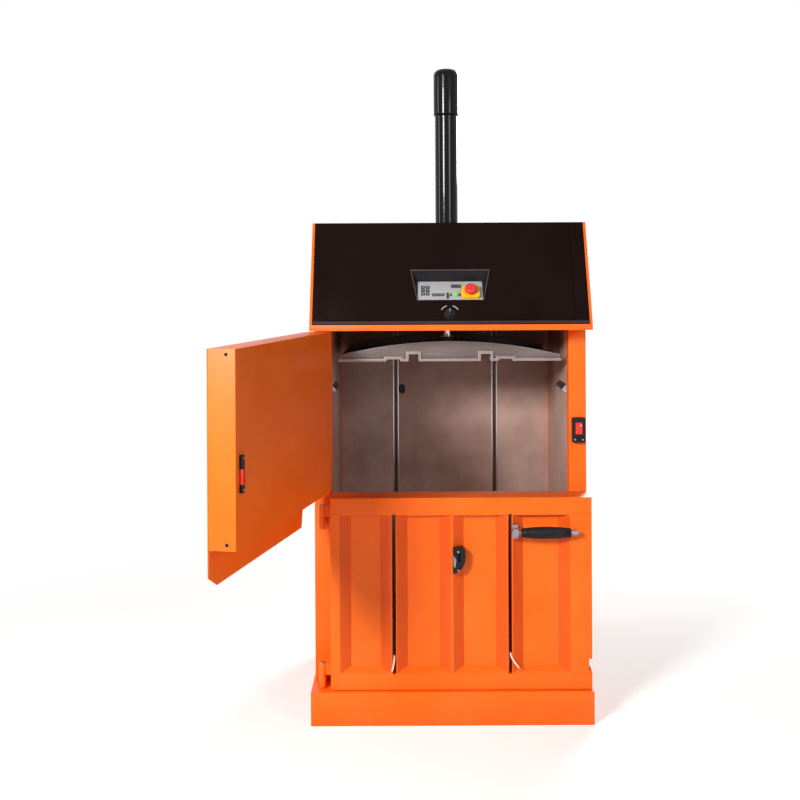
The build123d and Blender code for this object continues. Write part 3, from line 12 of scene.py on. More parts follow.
import bmesh
import bpy
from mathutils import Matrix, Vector


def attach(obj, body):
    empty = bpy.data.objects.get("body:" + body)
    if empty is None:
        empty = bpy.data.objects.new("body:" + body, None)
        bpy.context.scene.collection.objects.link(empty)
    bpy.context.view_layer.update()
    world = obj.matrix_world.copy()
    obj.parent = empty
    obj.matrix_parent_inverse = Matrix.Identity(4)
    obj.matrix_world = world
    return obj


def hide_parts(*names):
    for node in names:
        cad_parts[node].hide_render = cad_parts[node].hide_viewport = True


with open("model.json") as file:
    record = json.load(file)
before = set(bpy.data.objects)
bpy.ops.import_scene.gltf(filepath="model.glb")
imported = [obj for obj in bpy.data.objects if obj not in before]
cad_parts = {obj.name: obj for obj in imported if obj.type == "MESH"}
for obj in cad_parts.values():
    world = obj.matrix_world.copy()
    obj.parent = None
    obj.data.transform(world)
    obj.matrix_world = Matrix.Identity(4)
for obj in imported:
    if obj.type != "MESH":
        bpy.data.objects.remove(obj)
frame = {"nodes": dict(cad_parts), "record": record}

log = logging.getLogger("baler")

Point = tuple[float, float, float]
Pair = tuple[float, float]
Inputs = dict[Any, Any]
Socket = bpy.types.NodeSocket
Tree = bpy.types.NodeTree
Work = bmesh.types.BMesh
Build = Callable[[Work], Any]
Seats = Iterable[tuple[Vector, Vector]]


# ---------------------------------------------------------------- colours and nodes


def linear(code: str) -> tuple[float, float, float, float]:
    """Turn an sRGB hex colour into linear values.

    Args:
        code: Six hex digits after a hash sign.

    Returns:
        Red, green, blue and an alpha of 1.
    """
    parts = [int(code[place : place + 2], 16) / 255 for place in (1, 3, 5)]
    red, green, blue = (v / 12.92 if v <= 0.04045 else ((v + 0.055) / 1.055) ** 2.4 for v in parts)
    return red, green, blue, 1.0


def add_node(tree: Tree, kind: str, settings: Inputs | None = None,
             inputs: Inputs | None = None) -> bpy.types.Node:
    """Add a node with its settings, values and links.

    Args:
        tree: The node tree that takes the node.
        kind: Blender's name for the kind of node.
        settings: The node's own properties.
        inputs: Socket name or number to a value, or to the socket that feeds it.

    Returns:
        The new node.
    """
    node = tree.nodes.new(kind)
    for name, value in (settings or {}).items():
        setattr(node, name, value)
    for key, value in (inputs or {}).items():
        if isinstance(value, Socket):
            tree.links.new(value, node.inputs[key])
        else:
            node.inputs[key].default_value = value
    return node


def new_tree(name: str) -> tuple[bpy.types.Material, Tree]:
    """Make a material with an empty node tree.

    Args:
        name: The name, after the real material.

    Returns:
        The material and its tree.
    """
    material = bpy.data.materials.new(name)
    material.use_nodes = True
    material.node_tree.nodes.clear()
    return material, material.node_tree


class Stretch(Enum):
    """The way in which a scratch or a streak runs, as the scale of each axis."""

    EVEN = (1.0, 1.0, 1.0)
    UPRIGHT = (1.0, 1.0, 0.04)
    SIDEWAYS = (0.04, 0.04, 1.0)
    ACROSS = (0.05, 1.0, 1.0)


def noise(tree: Tree, size: float, stretch: Stretch = Stretch.EVEN, detail: float = 3.0, low: float = 0.3,
          high: float = 0.7, within: Socket | None = None) -> Socket:
    """Lay a noise pattern on the object's own coordinates.

    Args:
        tree: The material's tree.
        size: The size of one spot, in metres.
        stretch: The way that the spots are drawn out.
        detail: Octaves of finer noise.
        low: Noise value that becomes 0.
        high: Noise value that becomes 1.
        within: Another pattern, outside which this one fades away.

    Returns:
        The socket with the pattern, from 0 to 1.
    """
    place = add_node(tree, "ShaderNodeTexCoord")
    scaled = add_node(tree, "ShaderNodeMapping", inputs={"Vector": place.outputs["Object"],
                                                         "Scale": stretch.value})
    spots = add_node(tree, "ShaderNodeTexNoise", inputs={
        "Vector": scaled.outputs["Vector"], "Scale": 1 / size, "Detail": detail, "Roughness": 0.6})
    span = add_node(tree, "ShaderNodeMapRange", inputs={
        "Value": spots.outputs["Fac"], "From Min": low, "From Max": high})
    if within is None:
        return span.outputs["Result"]
    return add_node(tree, "ShaderNodeMath", {"operation": "MULTIPLY"},
                    {0: within, 1: span.outputs["Result"]}).outputs[0]


def height_band(tree: Tree, low: float, high: float) -> Socket:
    """Lay a pattern that fades away upwards.

    Args:
        tree: The material's tree.
        low: The height up to which it is 1, in metres.
        high: The height from which it is 0.

    Returns:
        The socket with the pattern, from 0 to 1.
    """
    place = add_node(tree, "ShaderNodeTexCoord")
    axes = add_node(tree, "ShaderNodeSeparateXYZ", inputs={"Vector": place.outputs["Object"]})
    band = add_node(tree, "ShaderNodeMapRange", {"interpolation_type": "SMOOTHSTEP"}, {
        "Value": axes.outputs["Z"], "From Min": low, "From Max": high, "To Min": 1.0, "To Max": 0.0})
    return band.outputs["Result"]


def layered(tree: Tree, ground: str, layers: Iterable[tuple[Socket, float, str]]) -> Socket:
    """Lay colours over a ground colour, one after the other.

    Args:
        tree: The material's tree.
        ground: The hex code of the ground colour.
        layers: For each one its pattern, how much of it covers where the pattern is 1, and its hex code.

    Returns:
        The socket with the colour.
    """
    colour: Any = linear(ground)
    for pattern, cover, code in layers:
        share = add_node(tree, "ShaderNodeMath", {"operation": "MULTIPLY"}, {0: pattern, 1: cover})
        mixed = add_node(tree, "ShaderNodeMix", {"data_type": "RGBA"},
                         {0: share.outputs[0], 6: colour, 7: linear(code)})
        colour = mixed.outputs[2]
    return colour


def surface(tree: Tree, inputs: Inputs, gloss: tuple[Socket, float, float] | None = None,
            relief: Iterable[tuple[Socket, float, float]] = ()) -> None:
    """End a material in one principled surface.

    Args:
        tree: The material's tree.
        inputs: The shader's own values and links.
        gloss: A pattern, and the roughness where it is 0 and where it is 1.
        relief: For each pattern its depth in metres and its strength, the coarsest first.
    """
    links: Inputs = {}
    if gloss is not None:
        pattern, smooth, rough = gloss
        links["Roughness"] = add_node(tree, "ShaderNodeMapRange", inputs={
            "Value": pattern, "To Min": smooth, "To Max": rough}).outputs["Result"]
    under: Inputs = {}
    for pattern, depth, strength in relief:
        bumps = add_node(tree, "ShaderNodeBump", inputs={
            "Height": pattern, "Distance": depth, "Strength": strength, **under})
        under = {"Normal": bumps.outputs["Normal"]}
    shader = add_node(tree, "ShaderNodeBsdfPrincipled", inputs={**inputs, **links, **under})
    add_node(tree, "ShaderNodeOutputMaterial", inputs={"Surface": shader.outputs[0]})


# ---------------------------------------------------------------- finishes


@dataclass(frozen=True)
class PowderCoat:
    """Baked polyester powder on sheet steel: an even film with a fine orange peel, thin on its edges."""

    name: str
    colour: str
    rubbed: str
    grime: str
    roughness: float
    specular: float = 0.3
    fold_shade: str = "#000000"
    grime_top: float = 0.1
    # The peel's ripples are about 2 mm apart, and a few hundredths of a millimetre deep
    peel: float = 0.0022
    peel_depth: float = 0.00005
    # Clouds in the film are 220 mm wide, and scuffs 14 mm, in patches of 190 mm
    cloud: float = 0.22
    scuff: float = 0.014
    scuff_patch: float = 0.19
    # Worn edges and dust break up every 30 mm, and a speck of grease is 7 mm across
    blotch: float = 0.03
    speck: float = 0.007

    def build(self) -> bpy.types.Material:
        """Make the material.

        Returns:
            The material, which reads the two marks that edged_copy leaves on a mesh: worn edges, and the
            painted shade of a pressed pan's flanks.
        """
        material, tree = new_tree(self.name)
        edges, fold_shade_mask = (add_node(tree, "ShaderNodeAttribute", {"attribute_name": mark}).outputs["Fac"]
                        for mark in (EDGE_MARK, FOLD_SHADE_MARK))
        clouds = noise(tree, self.cloud, detail=2.0)
        patches = noise(tree, self.scuff_patch, Stretch.EVEN, 2.0, 0.52, 0.72)
        scuffs = noise(tree, self.scuff, Stretch.SIDEWAYS, 5.0, 0.64, 0.8, patches)
        worn = noise(tree, self.blotch, Stretch.EVEN, 4.0, 0.35, 0.6, edges)
        dust = noise(tree, self.blotch, detail=5.0, within=height_band(tree, 0.0, self.grime_top))
        specks = noise(tree, self.speck, Stretch.EVEN, 4.0, 0.68, 0.8)
        colour = layered(tree, self.colour, (
            # The film is a little thicker in some places, which shifts its shade by a few percent
            (clouds, 0.22, self.rubbed),
            # Painted shade: the sloping flanks of a pressed pan turn half-way to a deeper orange, standing
            # in for the shade on them
            (fold_shade_mask, 0.5, self.fold_shade),
            # Handling leaves short, pale scuffs
            (scuffs, 0.35, self.rubbed),
            # The film is thin on rounded edges, and rubs paler there
            (worn, 0.7, self.rubbed),
            # Floor dust gathers low down, and grease specks anywhere
            (dust, 0.22, self.grime),
            (specks, 0.16, self.grime)))
        ripples = noise(tree, self.peel, Stretch.EVEN, 1.0, 0.2, 0.8)
        surface(tree, {"Base Color": colour, "Specular IOR Level": self.specular, "IOR": 1.5},
                (clouds, self.roughness - 0.04, self.roughness + 0.08), ((ripples, self.peel_depth, 0.5),))
        return material


@dataclass(frozen=True)
class ScuffedPaint:
    """Satin machine paint inside the press: scratched by bales, oily in patches, bare on its edges."""

    name: str
    colour: str
    bare: str
    dirt: str
    roughness: float = 0.45
    stretch: Stretch = Stretch.UPRIGHT
    wear: float = 0.35
    specular: float = 0.4
    # Oil and paper dust lie in soft patches as large as a hand, and specks of 4 mm
    patch: float = 0.17
    speck: float = 0.004
    # Scratches are 5 mm apart, and come in streaks 80 mm apart
    scratch: float = 0.005
    scratch_depth: float = 0.00008
    streak: float = 0.08
    # Bales leave shallow dents 60 mm apart, and the bare edges break up every 50 mm
    dent: float = 0.06
    dent_depth: float = 0.0007
    blotch: float = 0.05

    def build(self) -> bpy.types.Material:
        """Make the material.

        Returns:
            The material, which reads the mark that edged_copy leaves on rounded edges.
        """
        material, tree = new_tree(self.name)
        edges = add_node(tree, "ShaderNodeAttribute", {"attribute_name": EDGE_MARK}).outputs["Fac"]
        dirt = noise(tree, self.patch, Stretch.EVEN, 3.0, 0.38, 0.68)
        scratches = noise(tree, self.scratch, self.stretch, 4.0, 0.56, 0.72)
        streaks = noise(tree, self.streak, self.stretch, 2.0, 0.42, 0.65, scratches)
        worn = noise(tree, self.blotch, Stretch.EVEN, 4.0, 0.25, 0.5, edges)
        specks = noise(tree, self.speck, Stretch.EVEN, 3.0, 0.64, 0.75)
        colour = layered(tree, self.colour, (
            (dirt, 0.5, self.dirt), (streaks, self.wear, self.bare), (worn, 0.9, self.bare),
            (specks, 0.2, self.dirt)))
        surface(tree, {"Base Color": colour, "Specular IOR Level": self.specular, "IOR": 1.5},
                (dirt, self.roughness, self.roughness - 0.12),
                ((noise(tree, self.dent, detail=1.0), self.dent_depth, 0.4),
                 (scratches, -self.scratch_depth, 0.5)))
        return material


@dataclass(frozen=True)
class GlossEnamel:
    """Sprayed two-pack enamel: deep and mirror-like, with a slow ripple and a little dust."""

    name: str
    colour: str
    dust: str
    roughness: float = 0.1
    # Flecks of dust are 3 mm across, wiped patches 60 mm, and the film's ripples 11 mm apart
    fleck: float = 0.003
    wiped: float = 0.06
    ripple: float = 0.011
    ripple_depth: float = 0.00008

    def build(self) -> bpy.types.Material:
        """Make the material.

        Returns:
            The material.
        """
        material, tree = new_tree(self.name)
        flecks = noise(tree, self.fleck, Stretch.EVEN, 4.0, 0.62, 0.78)
        surface(tree, {"Base Color": layered(tree, self.colour, ((flecks, 0.12, self.dust),)), "IOR": 1.5,
                       "Specular IOR Level": 0.12, "Coat Weight": 0.12, "Coat Roughness": 0.05},
                (noise(tree, self.wiped), self.roughness, self.roughness + 0.09),
                ((noise(tree, self.ripple, detail=1.0), self.ripple_depth, 0.35),))
        return material


class Tooling(Enum):
    """How a bare metal got its surface, as the scratches' stretch."""

    GROUND_ROUND = Stretch.SIDEWAYS
    TUMBLED = Stretch.EVEN


@dataclass(frozen=True)
class BareMetal:
    """Bare or plated metal: faint tool lines that blur its gloss, and a dull bloom in patches."""

    name: str
    colour: str
    stain: str
    roughness: float
    tooling: Tooling
    # The tool's lines are about 1 mm apart, which is coarser than the real ones, so that they show
    line: float = 0.0012
    line_depth: float = 0.00002
    stained: float = 0.3
    bloom: float = 0.03

    def build(self) -> bpy.types.Material:
        """Make the material.

        Returns:
            The material.
        """
        material, tree = new_tree(self.name)
        bloom = noise(tree, self.bloom, Stretch.EVEN, 5.0, 0.42, 0.72)
        lines = noise(tree, self.line, self.tooling.value)
        surface(tree, {"Base Color": layered(tree, self.colour, ((bloom, self.stained, self.stain),)),
                       "Metallic": 1.0},
                (lines, max(self.roughness - 0.06, 0.03), self.roughness + 0.08),
                ((lines, self.line_depth, 0.6),))
        return material


@dataclass(frozen=True)
class MouldedPlastic:
    """Injection-moulded plastic such as nylon or ABS: an eroded grain, dulled by hands and dust."""

    name: str
    colour: str
    dust: str
    roughness: float
    # The mould's grain is just under 1 mm, which is coarser than the real one, so that it shows
    grain: float = 0.0008
    grain_depth: float = 0.00005
    dusty: float = 0.3
    glow: float = 0.0
    specular: float = 0.5
    smudge: float = 0.012

    def build(self) -> bpy.types.Material:
        """Make the material.

        Returns:
            The material.
        """
        material, tree = new_tree(self.name)
        dust = noise(tree, self.smudge, Stretch.EVEN, 5.0, 0.45, 0.75)
        surface(tree, {"Base Color": layered(tree, self.colour, ((dust, self.dusty, self.dust),)),
                       "IOR": 1.48, "Specular IOR Level": self.specular,
                       "Emission Color": linear(self.colour), "Emission Strength": self.glow},
                (dust, self.roughness, self.roughness + 0.15),
                ((noise(tree, self.grain, detail=1.0), self.grain_depth, 0.6),))
        return material


@dataclass(frozen=True)
class WovenStrap:
    """Woven polyester strapping: pale yarns about a millimetre apart, running along it, with dark gaps."""

    name: str
    colour: str
    shadow: str
    yarn: float = 0.0011
    weave_depth: float = 0.0002

    def build(self) -> bpy.types.Material:
        """Make the material.

        Returns:
            The material.
        """
        material, tree = new_tree(self.name)
        yarns = noise(tree, self.yarn, Stretch.UPRIGHT, 2.0)
        weave = noise(tree, self.yarn * 1.5, Stretch.SIDEWAYS, 1.0, within=yarns)
        surface(tree, {"Base Color": layered(tree, self.colour, ((weave, 1.0, self.shadow),)),
                       "Roughness": 0.75, "Sheen Weight": 0.25, "Sheen Roughness": 0.5},
                relief=((weave, self.weave_depth, 0.8),))
        return material


@dataclass(frozen=True)
class ScreenGlass:
    """A dark glass window over a small display: smooth, with a faint green-grey depth."""

    name: str = "display_window_glass"
    colour: str = "#1B211F"
    smear: str = "#3C4441"
    wipe: float = 0.006

    def build(self) -> bpy.types.Material:
        """Make the material.

        Returns:
            The material.
        """
        material, tree = new_tree(self.name)
        smears = noise(tree, self.wipe, Stretch.SIDEWAYS, 3.0, 0.45, 0.75)
        surface(tree, {"Base Color": layered(tree, self.colour, ((smears, 0.3, self.smear),)), "IOR": 1.5,
                       "Coat Weight": 0.5, "Coat Roughness": 0.04}, (smears, 0.05, 0.2))
        return material


Finish = PowderCoat | ScuffedPaint | GlossEnamel | BareMetal | MouldedPlastic | WovenStrap | ScreenGlass


@dataclass
class FinishBook:
    """Every finish of the baler, built once and found by its name."""

    kinds: dict[str, Finish] = field(default_factory=lambda: {
        # Folded sheet is coated in a satin orange film, and the cover in a flat black one; its hem is a
        # paler black, a painted highlight, and round the pocket's mouth the black is paler too
        # The orange's deeper tone on the flanks of pressed pans is painted shade
        "orange_paint": PowderCoat("polyester_powder_coat_orange", "#F8680D", "#F98A3C", "#7A3A18", 0.36,
                                   specular=0.24, fold_shade="#CB3C03"),
        "black_cover_paint": PowderCoat("polyester_powder_coat_black", "#170C0A", "#271C1A", "#332925", 0.4,
                                        specular=0.03, grime_top=0.0),
        "hem_paint": PowderCoat("powder_coat_black_hem_painted_highlight", "#372B2C", "#5A4A4C", "#332A28", 0.3,
                                specular=0.08, grime_top=0.0),
        "rim_paint": PowderCoat("powder_coat_black_paler_rim", "#3E3433", "#7D7371", "#3A302C", 0.34,
                                specular=0.12, grime_top=0.0),
        # Paint inside the press is matt with oil and scratches, and bare steel shows where it has gone
        "chamber_paint": ScuffedPaint("scuffed_machine_paint_brown_grey", "#CDAEA2", "#E9DED8", "#8A6B5C"),
        "grey_paint": ScuffedPaint("satin_machine_paint_grey", "#6C6563", "#B9B1AC", "#584D48", 0.42,
                                   Stretch.ACROSS, 0.45),
        # The platen plate's paler grey is partly wear and partly a painted highlight on its lit lips
        "worn_lip": ScuffedPaint("machine_paint_worn_lip_painted_highlight", "#958D8A", "#D8D1CD", "#746A65", 0.34,
                                 Stretch.ACROSS, 0.6),
        # The cylinder's enamel is almost a black mirror
        "gloss_black_paint": GlossEnamel("two_pack_enamel_black", "#070607", "#2A2625"),
        # Ground chrome mirrors with fine rings, zinc plate is a dull blue-grey, the pale bright steel of the
        # channel beads is a painted highlight, and a sand casting is matt and coarse
        "chrome": BareMetal("hard_chrome_ground", "#D9D8DA", "#B5B0AE", 0.09, Tooling.GROUND_ROUND,
                            0.0006, 0.000004, 0.1),
        "zinc_steel": BareMetal("zinc_plated_steel", "#9A9AA6", "#716E76", 0.34, Tooling.TUMBLED),
        "rubbed_steel": BareMetal("steel_painted_highlight", "#DCD8D5", "#A59D98", 0.3, Tooling.TUMBLED),
        "cast_aluminium": BareMetal("sand_cast_aluminium", "#9A9A9C", "#6F6E70", 0.5, Tooling.TUMBLED,
                                    0.003, 0.0002),
        # Moulded nylon and polyethylene are dull and grained, foil is flat and even, and the controls'
        # coloured plastics are smooth and clean, the start button lit from within
        "black_plastic": MouldedPlastic("glass_filled_nylon_black", "#131217", "#2E2A29", 0.38,
                                        specular=0.22),
        "grey_plastic": MouldedPlastic("polyester_foil_grey", "#B2B1B5", "#98949A", 0.4,
                                       grain_depth=0.00002),
        "tank_plastic": MouldedPlastic("rotomoulded_polyethylene", "#2A2A2D", "#4A4745", 0.55,
                                       0.004, 0.0002),
        "yellow_plastic": MouldedPlastic("moulded_abs_yellow", "#F2C212", "#C79B1B", 0.4),
        "red_plastic": MouldedPlastic("moulded_polycarbonate_red", "#E23224", "#B02C20", 0.24, dusty=0.12),
        "green_plastic": MouldedPlastic("lit_acrylic_green", "#58C63E", "#3F9A31", 0.2, dusty=0.1, glow=0.5),
        "strap_polyester": WovenStrap("woven_polyester_strap", "#F3E6CF", "#BFA888"),
        "foil_key": MouldedPlastic("printed_foil_key_charcoal", "#2C2A2E", "#4B4748", 0.35,
                                   grain_depth=0.00001, dusty=0.2),
        "foil_mark": MouldedPlastic("printed_foil_mark_pale", "#C9C5C4", "#A9A4A2", 0.4, dusty=0.1),
        # Pale arcs round the dial are painted highlights of light caught on its ring
        "dial_mark": MouldedPlastic("beige_arc_painted_highlight", "#A69C92", "#7E756D", 0.45, dusty=0.3),
        "indicator": MouldedPlastic("moulded_polycarbonate_white", "#F4F1EC", "#CFC8C0", 0.25, dusty=0.1),
        "screen": ScreenGlass(),
    })
    built: dict[str, bpy.types.Material] = field(default_factory=dict)

    def get(self, name: str) -> bpy.types.Material:
        """Find or make the material of a finish.

        Args:
            name: A slot of the record, or one of the small parts' own finishes.

        Returns:
            The material.
        """
        if name not in self.built:
            self.built[name] = self.kinds[name].build()
        return self.built[name]


# ---------------------------------------------------------------- meshes

# The marks on a mesh that the finishes read: its rounded edges, and the flanks of a pressed pan, which get
# painted shade
EDGE_MARK = "edge_wear"
FOLD_SHADE_MARK = "painted_fold_shade"
# Angles in degrees: a fold in the CAD mesh, a corner of a small part, a face that is still flat, the
# sharpest edge that is shaded smooth, and the sharpest one of a weld
FOLD_ANGLE = 28.0
CORNER_ANGLE = 40.0
FLAT_ANGLE = 0.6
SMOOTH_ANGLE = 32.0
WELD_SMOOTH = 60.0
# How far a flank's normal leans from each of the panel's own two directions
FLANK_LEAN = 0.15


def link_mesh(name: str, mesh: bpy.types.Mesh) -> bpy.types.Object:
    """Put a mesh into the scene.

    Args:
        name: The object's name.
        mesh: Its mesh.

    Returns:
        An object at the origin.
    """
    piece = bpy.data.objects.new(name, mesh)
    bpy.context.scene.collection.objects.link(piece)
    return piece


def finish_piece(name: str, mesh: bpy.types.Mesh, material: bpy.types.Material, body: str,
                 smooth: float = SMOOTH_ANGLE) -> bpy.types.Object:
    """Turn a finished mesh into a piece of the baler.

    Args:
        name: The piece's name.
        mesh: Its mesh, in place.
        material: What it is made of.
        body: The body that it rides on.
        smooth: Edges sharper than this stay sharp, in degrees.

    Returns:
        The piece.
    """
    mesh.materials.clear()
    mesh.materials.append(material)
    mesh.polygons.foreach_set("use_smooth", [True] * len(mesh.polygons))
    mesh.set_sharp_from_angle(angle=math.radians(smooth))
    piece = link_mesh(name, mesh)
    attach(piece, body)
    log.info("%s: %d faces on %s", name, len(mesh.polygons), body)
    return piece


def round_edges(work: Work, degrees: float, width: float) -> list[bmesh.types.BMFace]:
    """Round the edges of a mesh that are sharper than an angle.

    Args:
        work: The mesh.
        degrees: The angle between the faces at the edge.
        width: The width of the rounding, in metres.

    Returns:
        The new faces.
    """
    sharp = [edge for edge in work.edges
             if len(edge.link_faces) == 2 and edge.calc_face_angle(0.0) > math.radians(degrees)]
    return bmesh.ops.bevel(work, geom=sharp, offset=width, segments=2, profile=0.6, affect="EDGES",
                           clamp_overlap=True)["faces"]


def edged_copy(node: str, width: float, pressed: bool) -> bpy.types.Mesh:
    """Copy a rigid node's mesh, join its triangles and round its edges as folded sheet has them.

    Args:
        node: The node's name.
        width: The width of the rounding, in metres.
        pressed: Whether its sloping faces are the flanks of a pressed pan, which are marked for painted
            shade.

    Returns:
        The new mesh, with the marks that the finishes read.
    """
    work = bmesh.new()
    work.from_mesh(frame["nodes"][node].data)
    bmesh.ops.remove_doubles(work, verts=work.verts, dist=1e-6)
    bmesh.ops.dissolve_limit(work, angle_limit=math.radians(FLAT_ANGLE), verts=work.verts,
                             edges=work.edges, delimit=set())
    wear = work.verts.layers.float.new(EDGE_MARK)
    fold = work.faces.layers.float.new(FOLD_SHADE_MARK)
    rounds = set(round_edges(work, FOLD_ANGLE, width))
    for vert in work.verts:
        if vert.link_faces and all(face in rounds for face in vert.link_faces):
            vert[wear] = 1.0
    # Mark the sloping flanks of a pressed pan for painted shade
    for face in work.faces:
        if pressed and min(abs(face.normal.x), abs(face.normal.y)) > FLANK_LEAN:
            face[fold] = 1.0
    bmesh.ops.triangulate(work, faces=[face for face in work.faces if len(face.verts) > 4])
    mesh = bpy.data.meshes.new(node + "_edged")
    work.to_mesh(mesh)
    work.free()
    return mesh


@dataclass(frozen=True)
class Placement:
    """One place on a face: a point, and the directions across, up and out of the face."""

    origin: Vector
    across: Vector
    up: Vector

    @property
    def out(self) -> Vector:
        """The direction out of the face."""
        return self.across.cross(self.up)

    def at(self, x: float, y: float, lift: float = 0.0) -> Vector:
        """A point of the face, so far across, up and out."""
        return self.origin + self.across * x + self.up * y + self.out * lift


def slab(work: Work, place: Placement, outline: Sequence[Pair], low: float, high: float) -> None:
    """Add a flat prism on a face.

    Args:
        work: The mesh that takes it.
        place: The face.
        outline: Its corners in the face, anticlockwise seen from outside.
        low: The height of its back.
        high: The height of its front.
    """
    back = [work.verts.new(place.at(x, y, low)) for x, y in outline]
    front = [work.verts.new(place.at(x, y, high)) for x, y in outline]
    work.faces.new(list(reversed(back)))
    work.faces.new(front)
    count = len(outline)
    for index in range(count):
        after = (index + 1) % count
        work.faces.new((back[index], back[after], front[after], front[index]))


def rounded(width: float, height: float, radius: float, centre: Pair = (0.0, 0.0),
            steps: int = 5) -> list[Pair]:
    """Lay out a rectangle with round corners.

    Args:
        width: Its width.
        height: Its height.
        radius: The radius of its corners.
        centre: Its middle.
        steps: Edges round each corner.

    Returns:
        Its corners, anticlockwise.
    """
    points = []
    for turn, (sx, sy) in enumerate(((1, -1), (1, 1), (-1, 1), (-1, -1))):
        corner = (centre[0] + sx * (width / 2 - radius), centre[1] + sy * (height / 2 - radius))
        for step in range(steps + 1):
            angle = math.radians(-90 + 90 * turn + 90 * step / steps)
            points.append((corner[0] + radius * math.cos(angle), corner[1] + radius * math.sin(angle)))
    return points


def box(low: Pair, high: Pair) -> list[Pair]:
    """Corners of a rectangle from its lowest and highest corner, anticlockwise."""
    return [low, (high[0], low[1]), high, (low[0], high[1])]


def lathe(work: Work, centre: Vector, axis: Vector, profile: Sequence[Pair], steps: int = 24,
          ring: bool = False) -> None:
    """Turn a profile round an axis.

    Args:
        work: The mesh that takes it.
        centre: The point where the profile's lengths start.
        axis: The direction of the axis.
        profile: Pairs of a length along the axis and a radius, where 0 closes the end.
        steps: Faces round the axis.
        ring: True where the profile is a closed section, which makes a ring.
    """
    way = axis.normalized()
    side = way.orthogonal().normalized()
    other = way.cross(side)
    rings = []
    for along, radius in profile:
        middle = centre + way * along
        if radius == 0:
            rings.append([work.verts.new(middle)])
            continue
        turns = (2 * math.pi * step / steps for step in range(steps))
        rings.append([work.verts.new(middle + (side * math.cos(t) + other * math.sin(t)) * radius)
                      for t in turns])
    for first, second in zip(rings, rings[1:] + (rings[:1] if ring else [])):
        for index in range(steps):
            after = (index + 1) % steps
            corners = [first[index % len(first)], first[after % len(first)],
                       second[after % len(second)], second[index % len(second)]]
            work.faces.new(list(dict.fromkeys(corners)))


def mesh_from(name: str, build: Build, rounding: float = 0.0) -> bpy.types.Mesh:
    """Build a mesh with a function, and round its edges a little.

    Args:
        name: The mesh's name.
        build: Adds the shapes.
        rounding: The width of the rounding, in metres.

    Returns:
        The mesh.
    """
    work = bmesh.new()
    build(work)
    bmesh.ops.recalc_face_normals(work, faces=work.faces)
    if rounding > 0:
        round_edges(work, CORNER_ANGLE, rounding)
    mesh = bpy.data.meshes.new(name)
    work.to_mesh(mesh)
    work.free()
    return mesh


# ---------------------------------------------------------------- geometry nodes for what repeats


class Head(Enum):
    """What a tree of fasteners repeats."""

    HEX_BOLT = "hex_bolt"
    BUTTON = "button_screw"
    PIN = "pin_head"
    LOUVRE = "louvre"


def head_mesh(head: Head) -> bpy.types.Mesh:
    """Make one fastener of radius 1, or one louvre in metres, standing on its seat and pointing up.

    Args:
        head: The kind.

    Returns:
        Its mesh.
    """
    sunk = -0.1
    centre, up = Vector((0, 0, 0)), Vector((0, 0, 1))

    def hex_bolt(work: Work) -> None:
        """A washer, a hexagon and its chamfer."""
        lathe(work, centre, up, [(sunk, 0), (sunk, 1.35), (0.16, 1.35), (0.2, 1.28), (0.2, 0)])
        lathe(work, centre, up, [(0.15, 0), (0.15, 1.0), (0.72, 1.0), (0.84, 0.84), (0.84, 0)], 6)

    def button(work: Work) -> None:
        """A domed head with a hexagon socket."""
        lathe(work, centre, up, [(sunk, 0), (sunk, 1.0), (0.12, 1.0), (0.38, 0.86), (0.52, 0.6),
                                 (0.54, 0.42), (0.2, 0.4), (0.16, 0)], 18)

    def pin(work: Work) -> None:
        """A flat head with a rounded rim."""
        lathe(work, centre, up, [(sunk, 0), (sunk, 1.0), (0.3, 1.0), (0.42, 0.9), (0.46, 0.6), (0.46, 0)])

    def louvre(work: Work) -> None:
        """Add a pressed hood over a slot, closed at its ends and open below.

        Args:
            work: The mesh that takes it.
        """
        section = [(0.0095, -0.0004), (0.0085, 0.002), (0.004, 0.0062), (-0.004, 0.0082),
                   (-0.0043, 0.0071), (0.003, 0.0052), (0.0071, 0.001), (0.0076, -0.0004)]
        ends = [(-0.066, 0.04), (-0.062, 0.7), (-0.056, 1.0), (0.056, 1.0), (0.062, 0.7), (0.066, 0.04)]
        rows = [[work.verts.new((x, high, out * share)) for high, out in section] for x, share in ends]
        for row, after in zip(rows, rows[1:]):
            for index in range(len(section)):
                beside = (index + 1) % len(section)
                work.faces.new((row[index], row[beside], after[beside], after[index]))
        work.faces.new(rows[0])
        work.faces.new(list(reversed(rows[-1])))

    kinds = {Head.HEX_BOLT: hex_bolt, Head.BUTTON: button, Head.PIN: pin, Head.LOUVRE: louvre}
    return mesh_from(head.value, kinds[head])


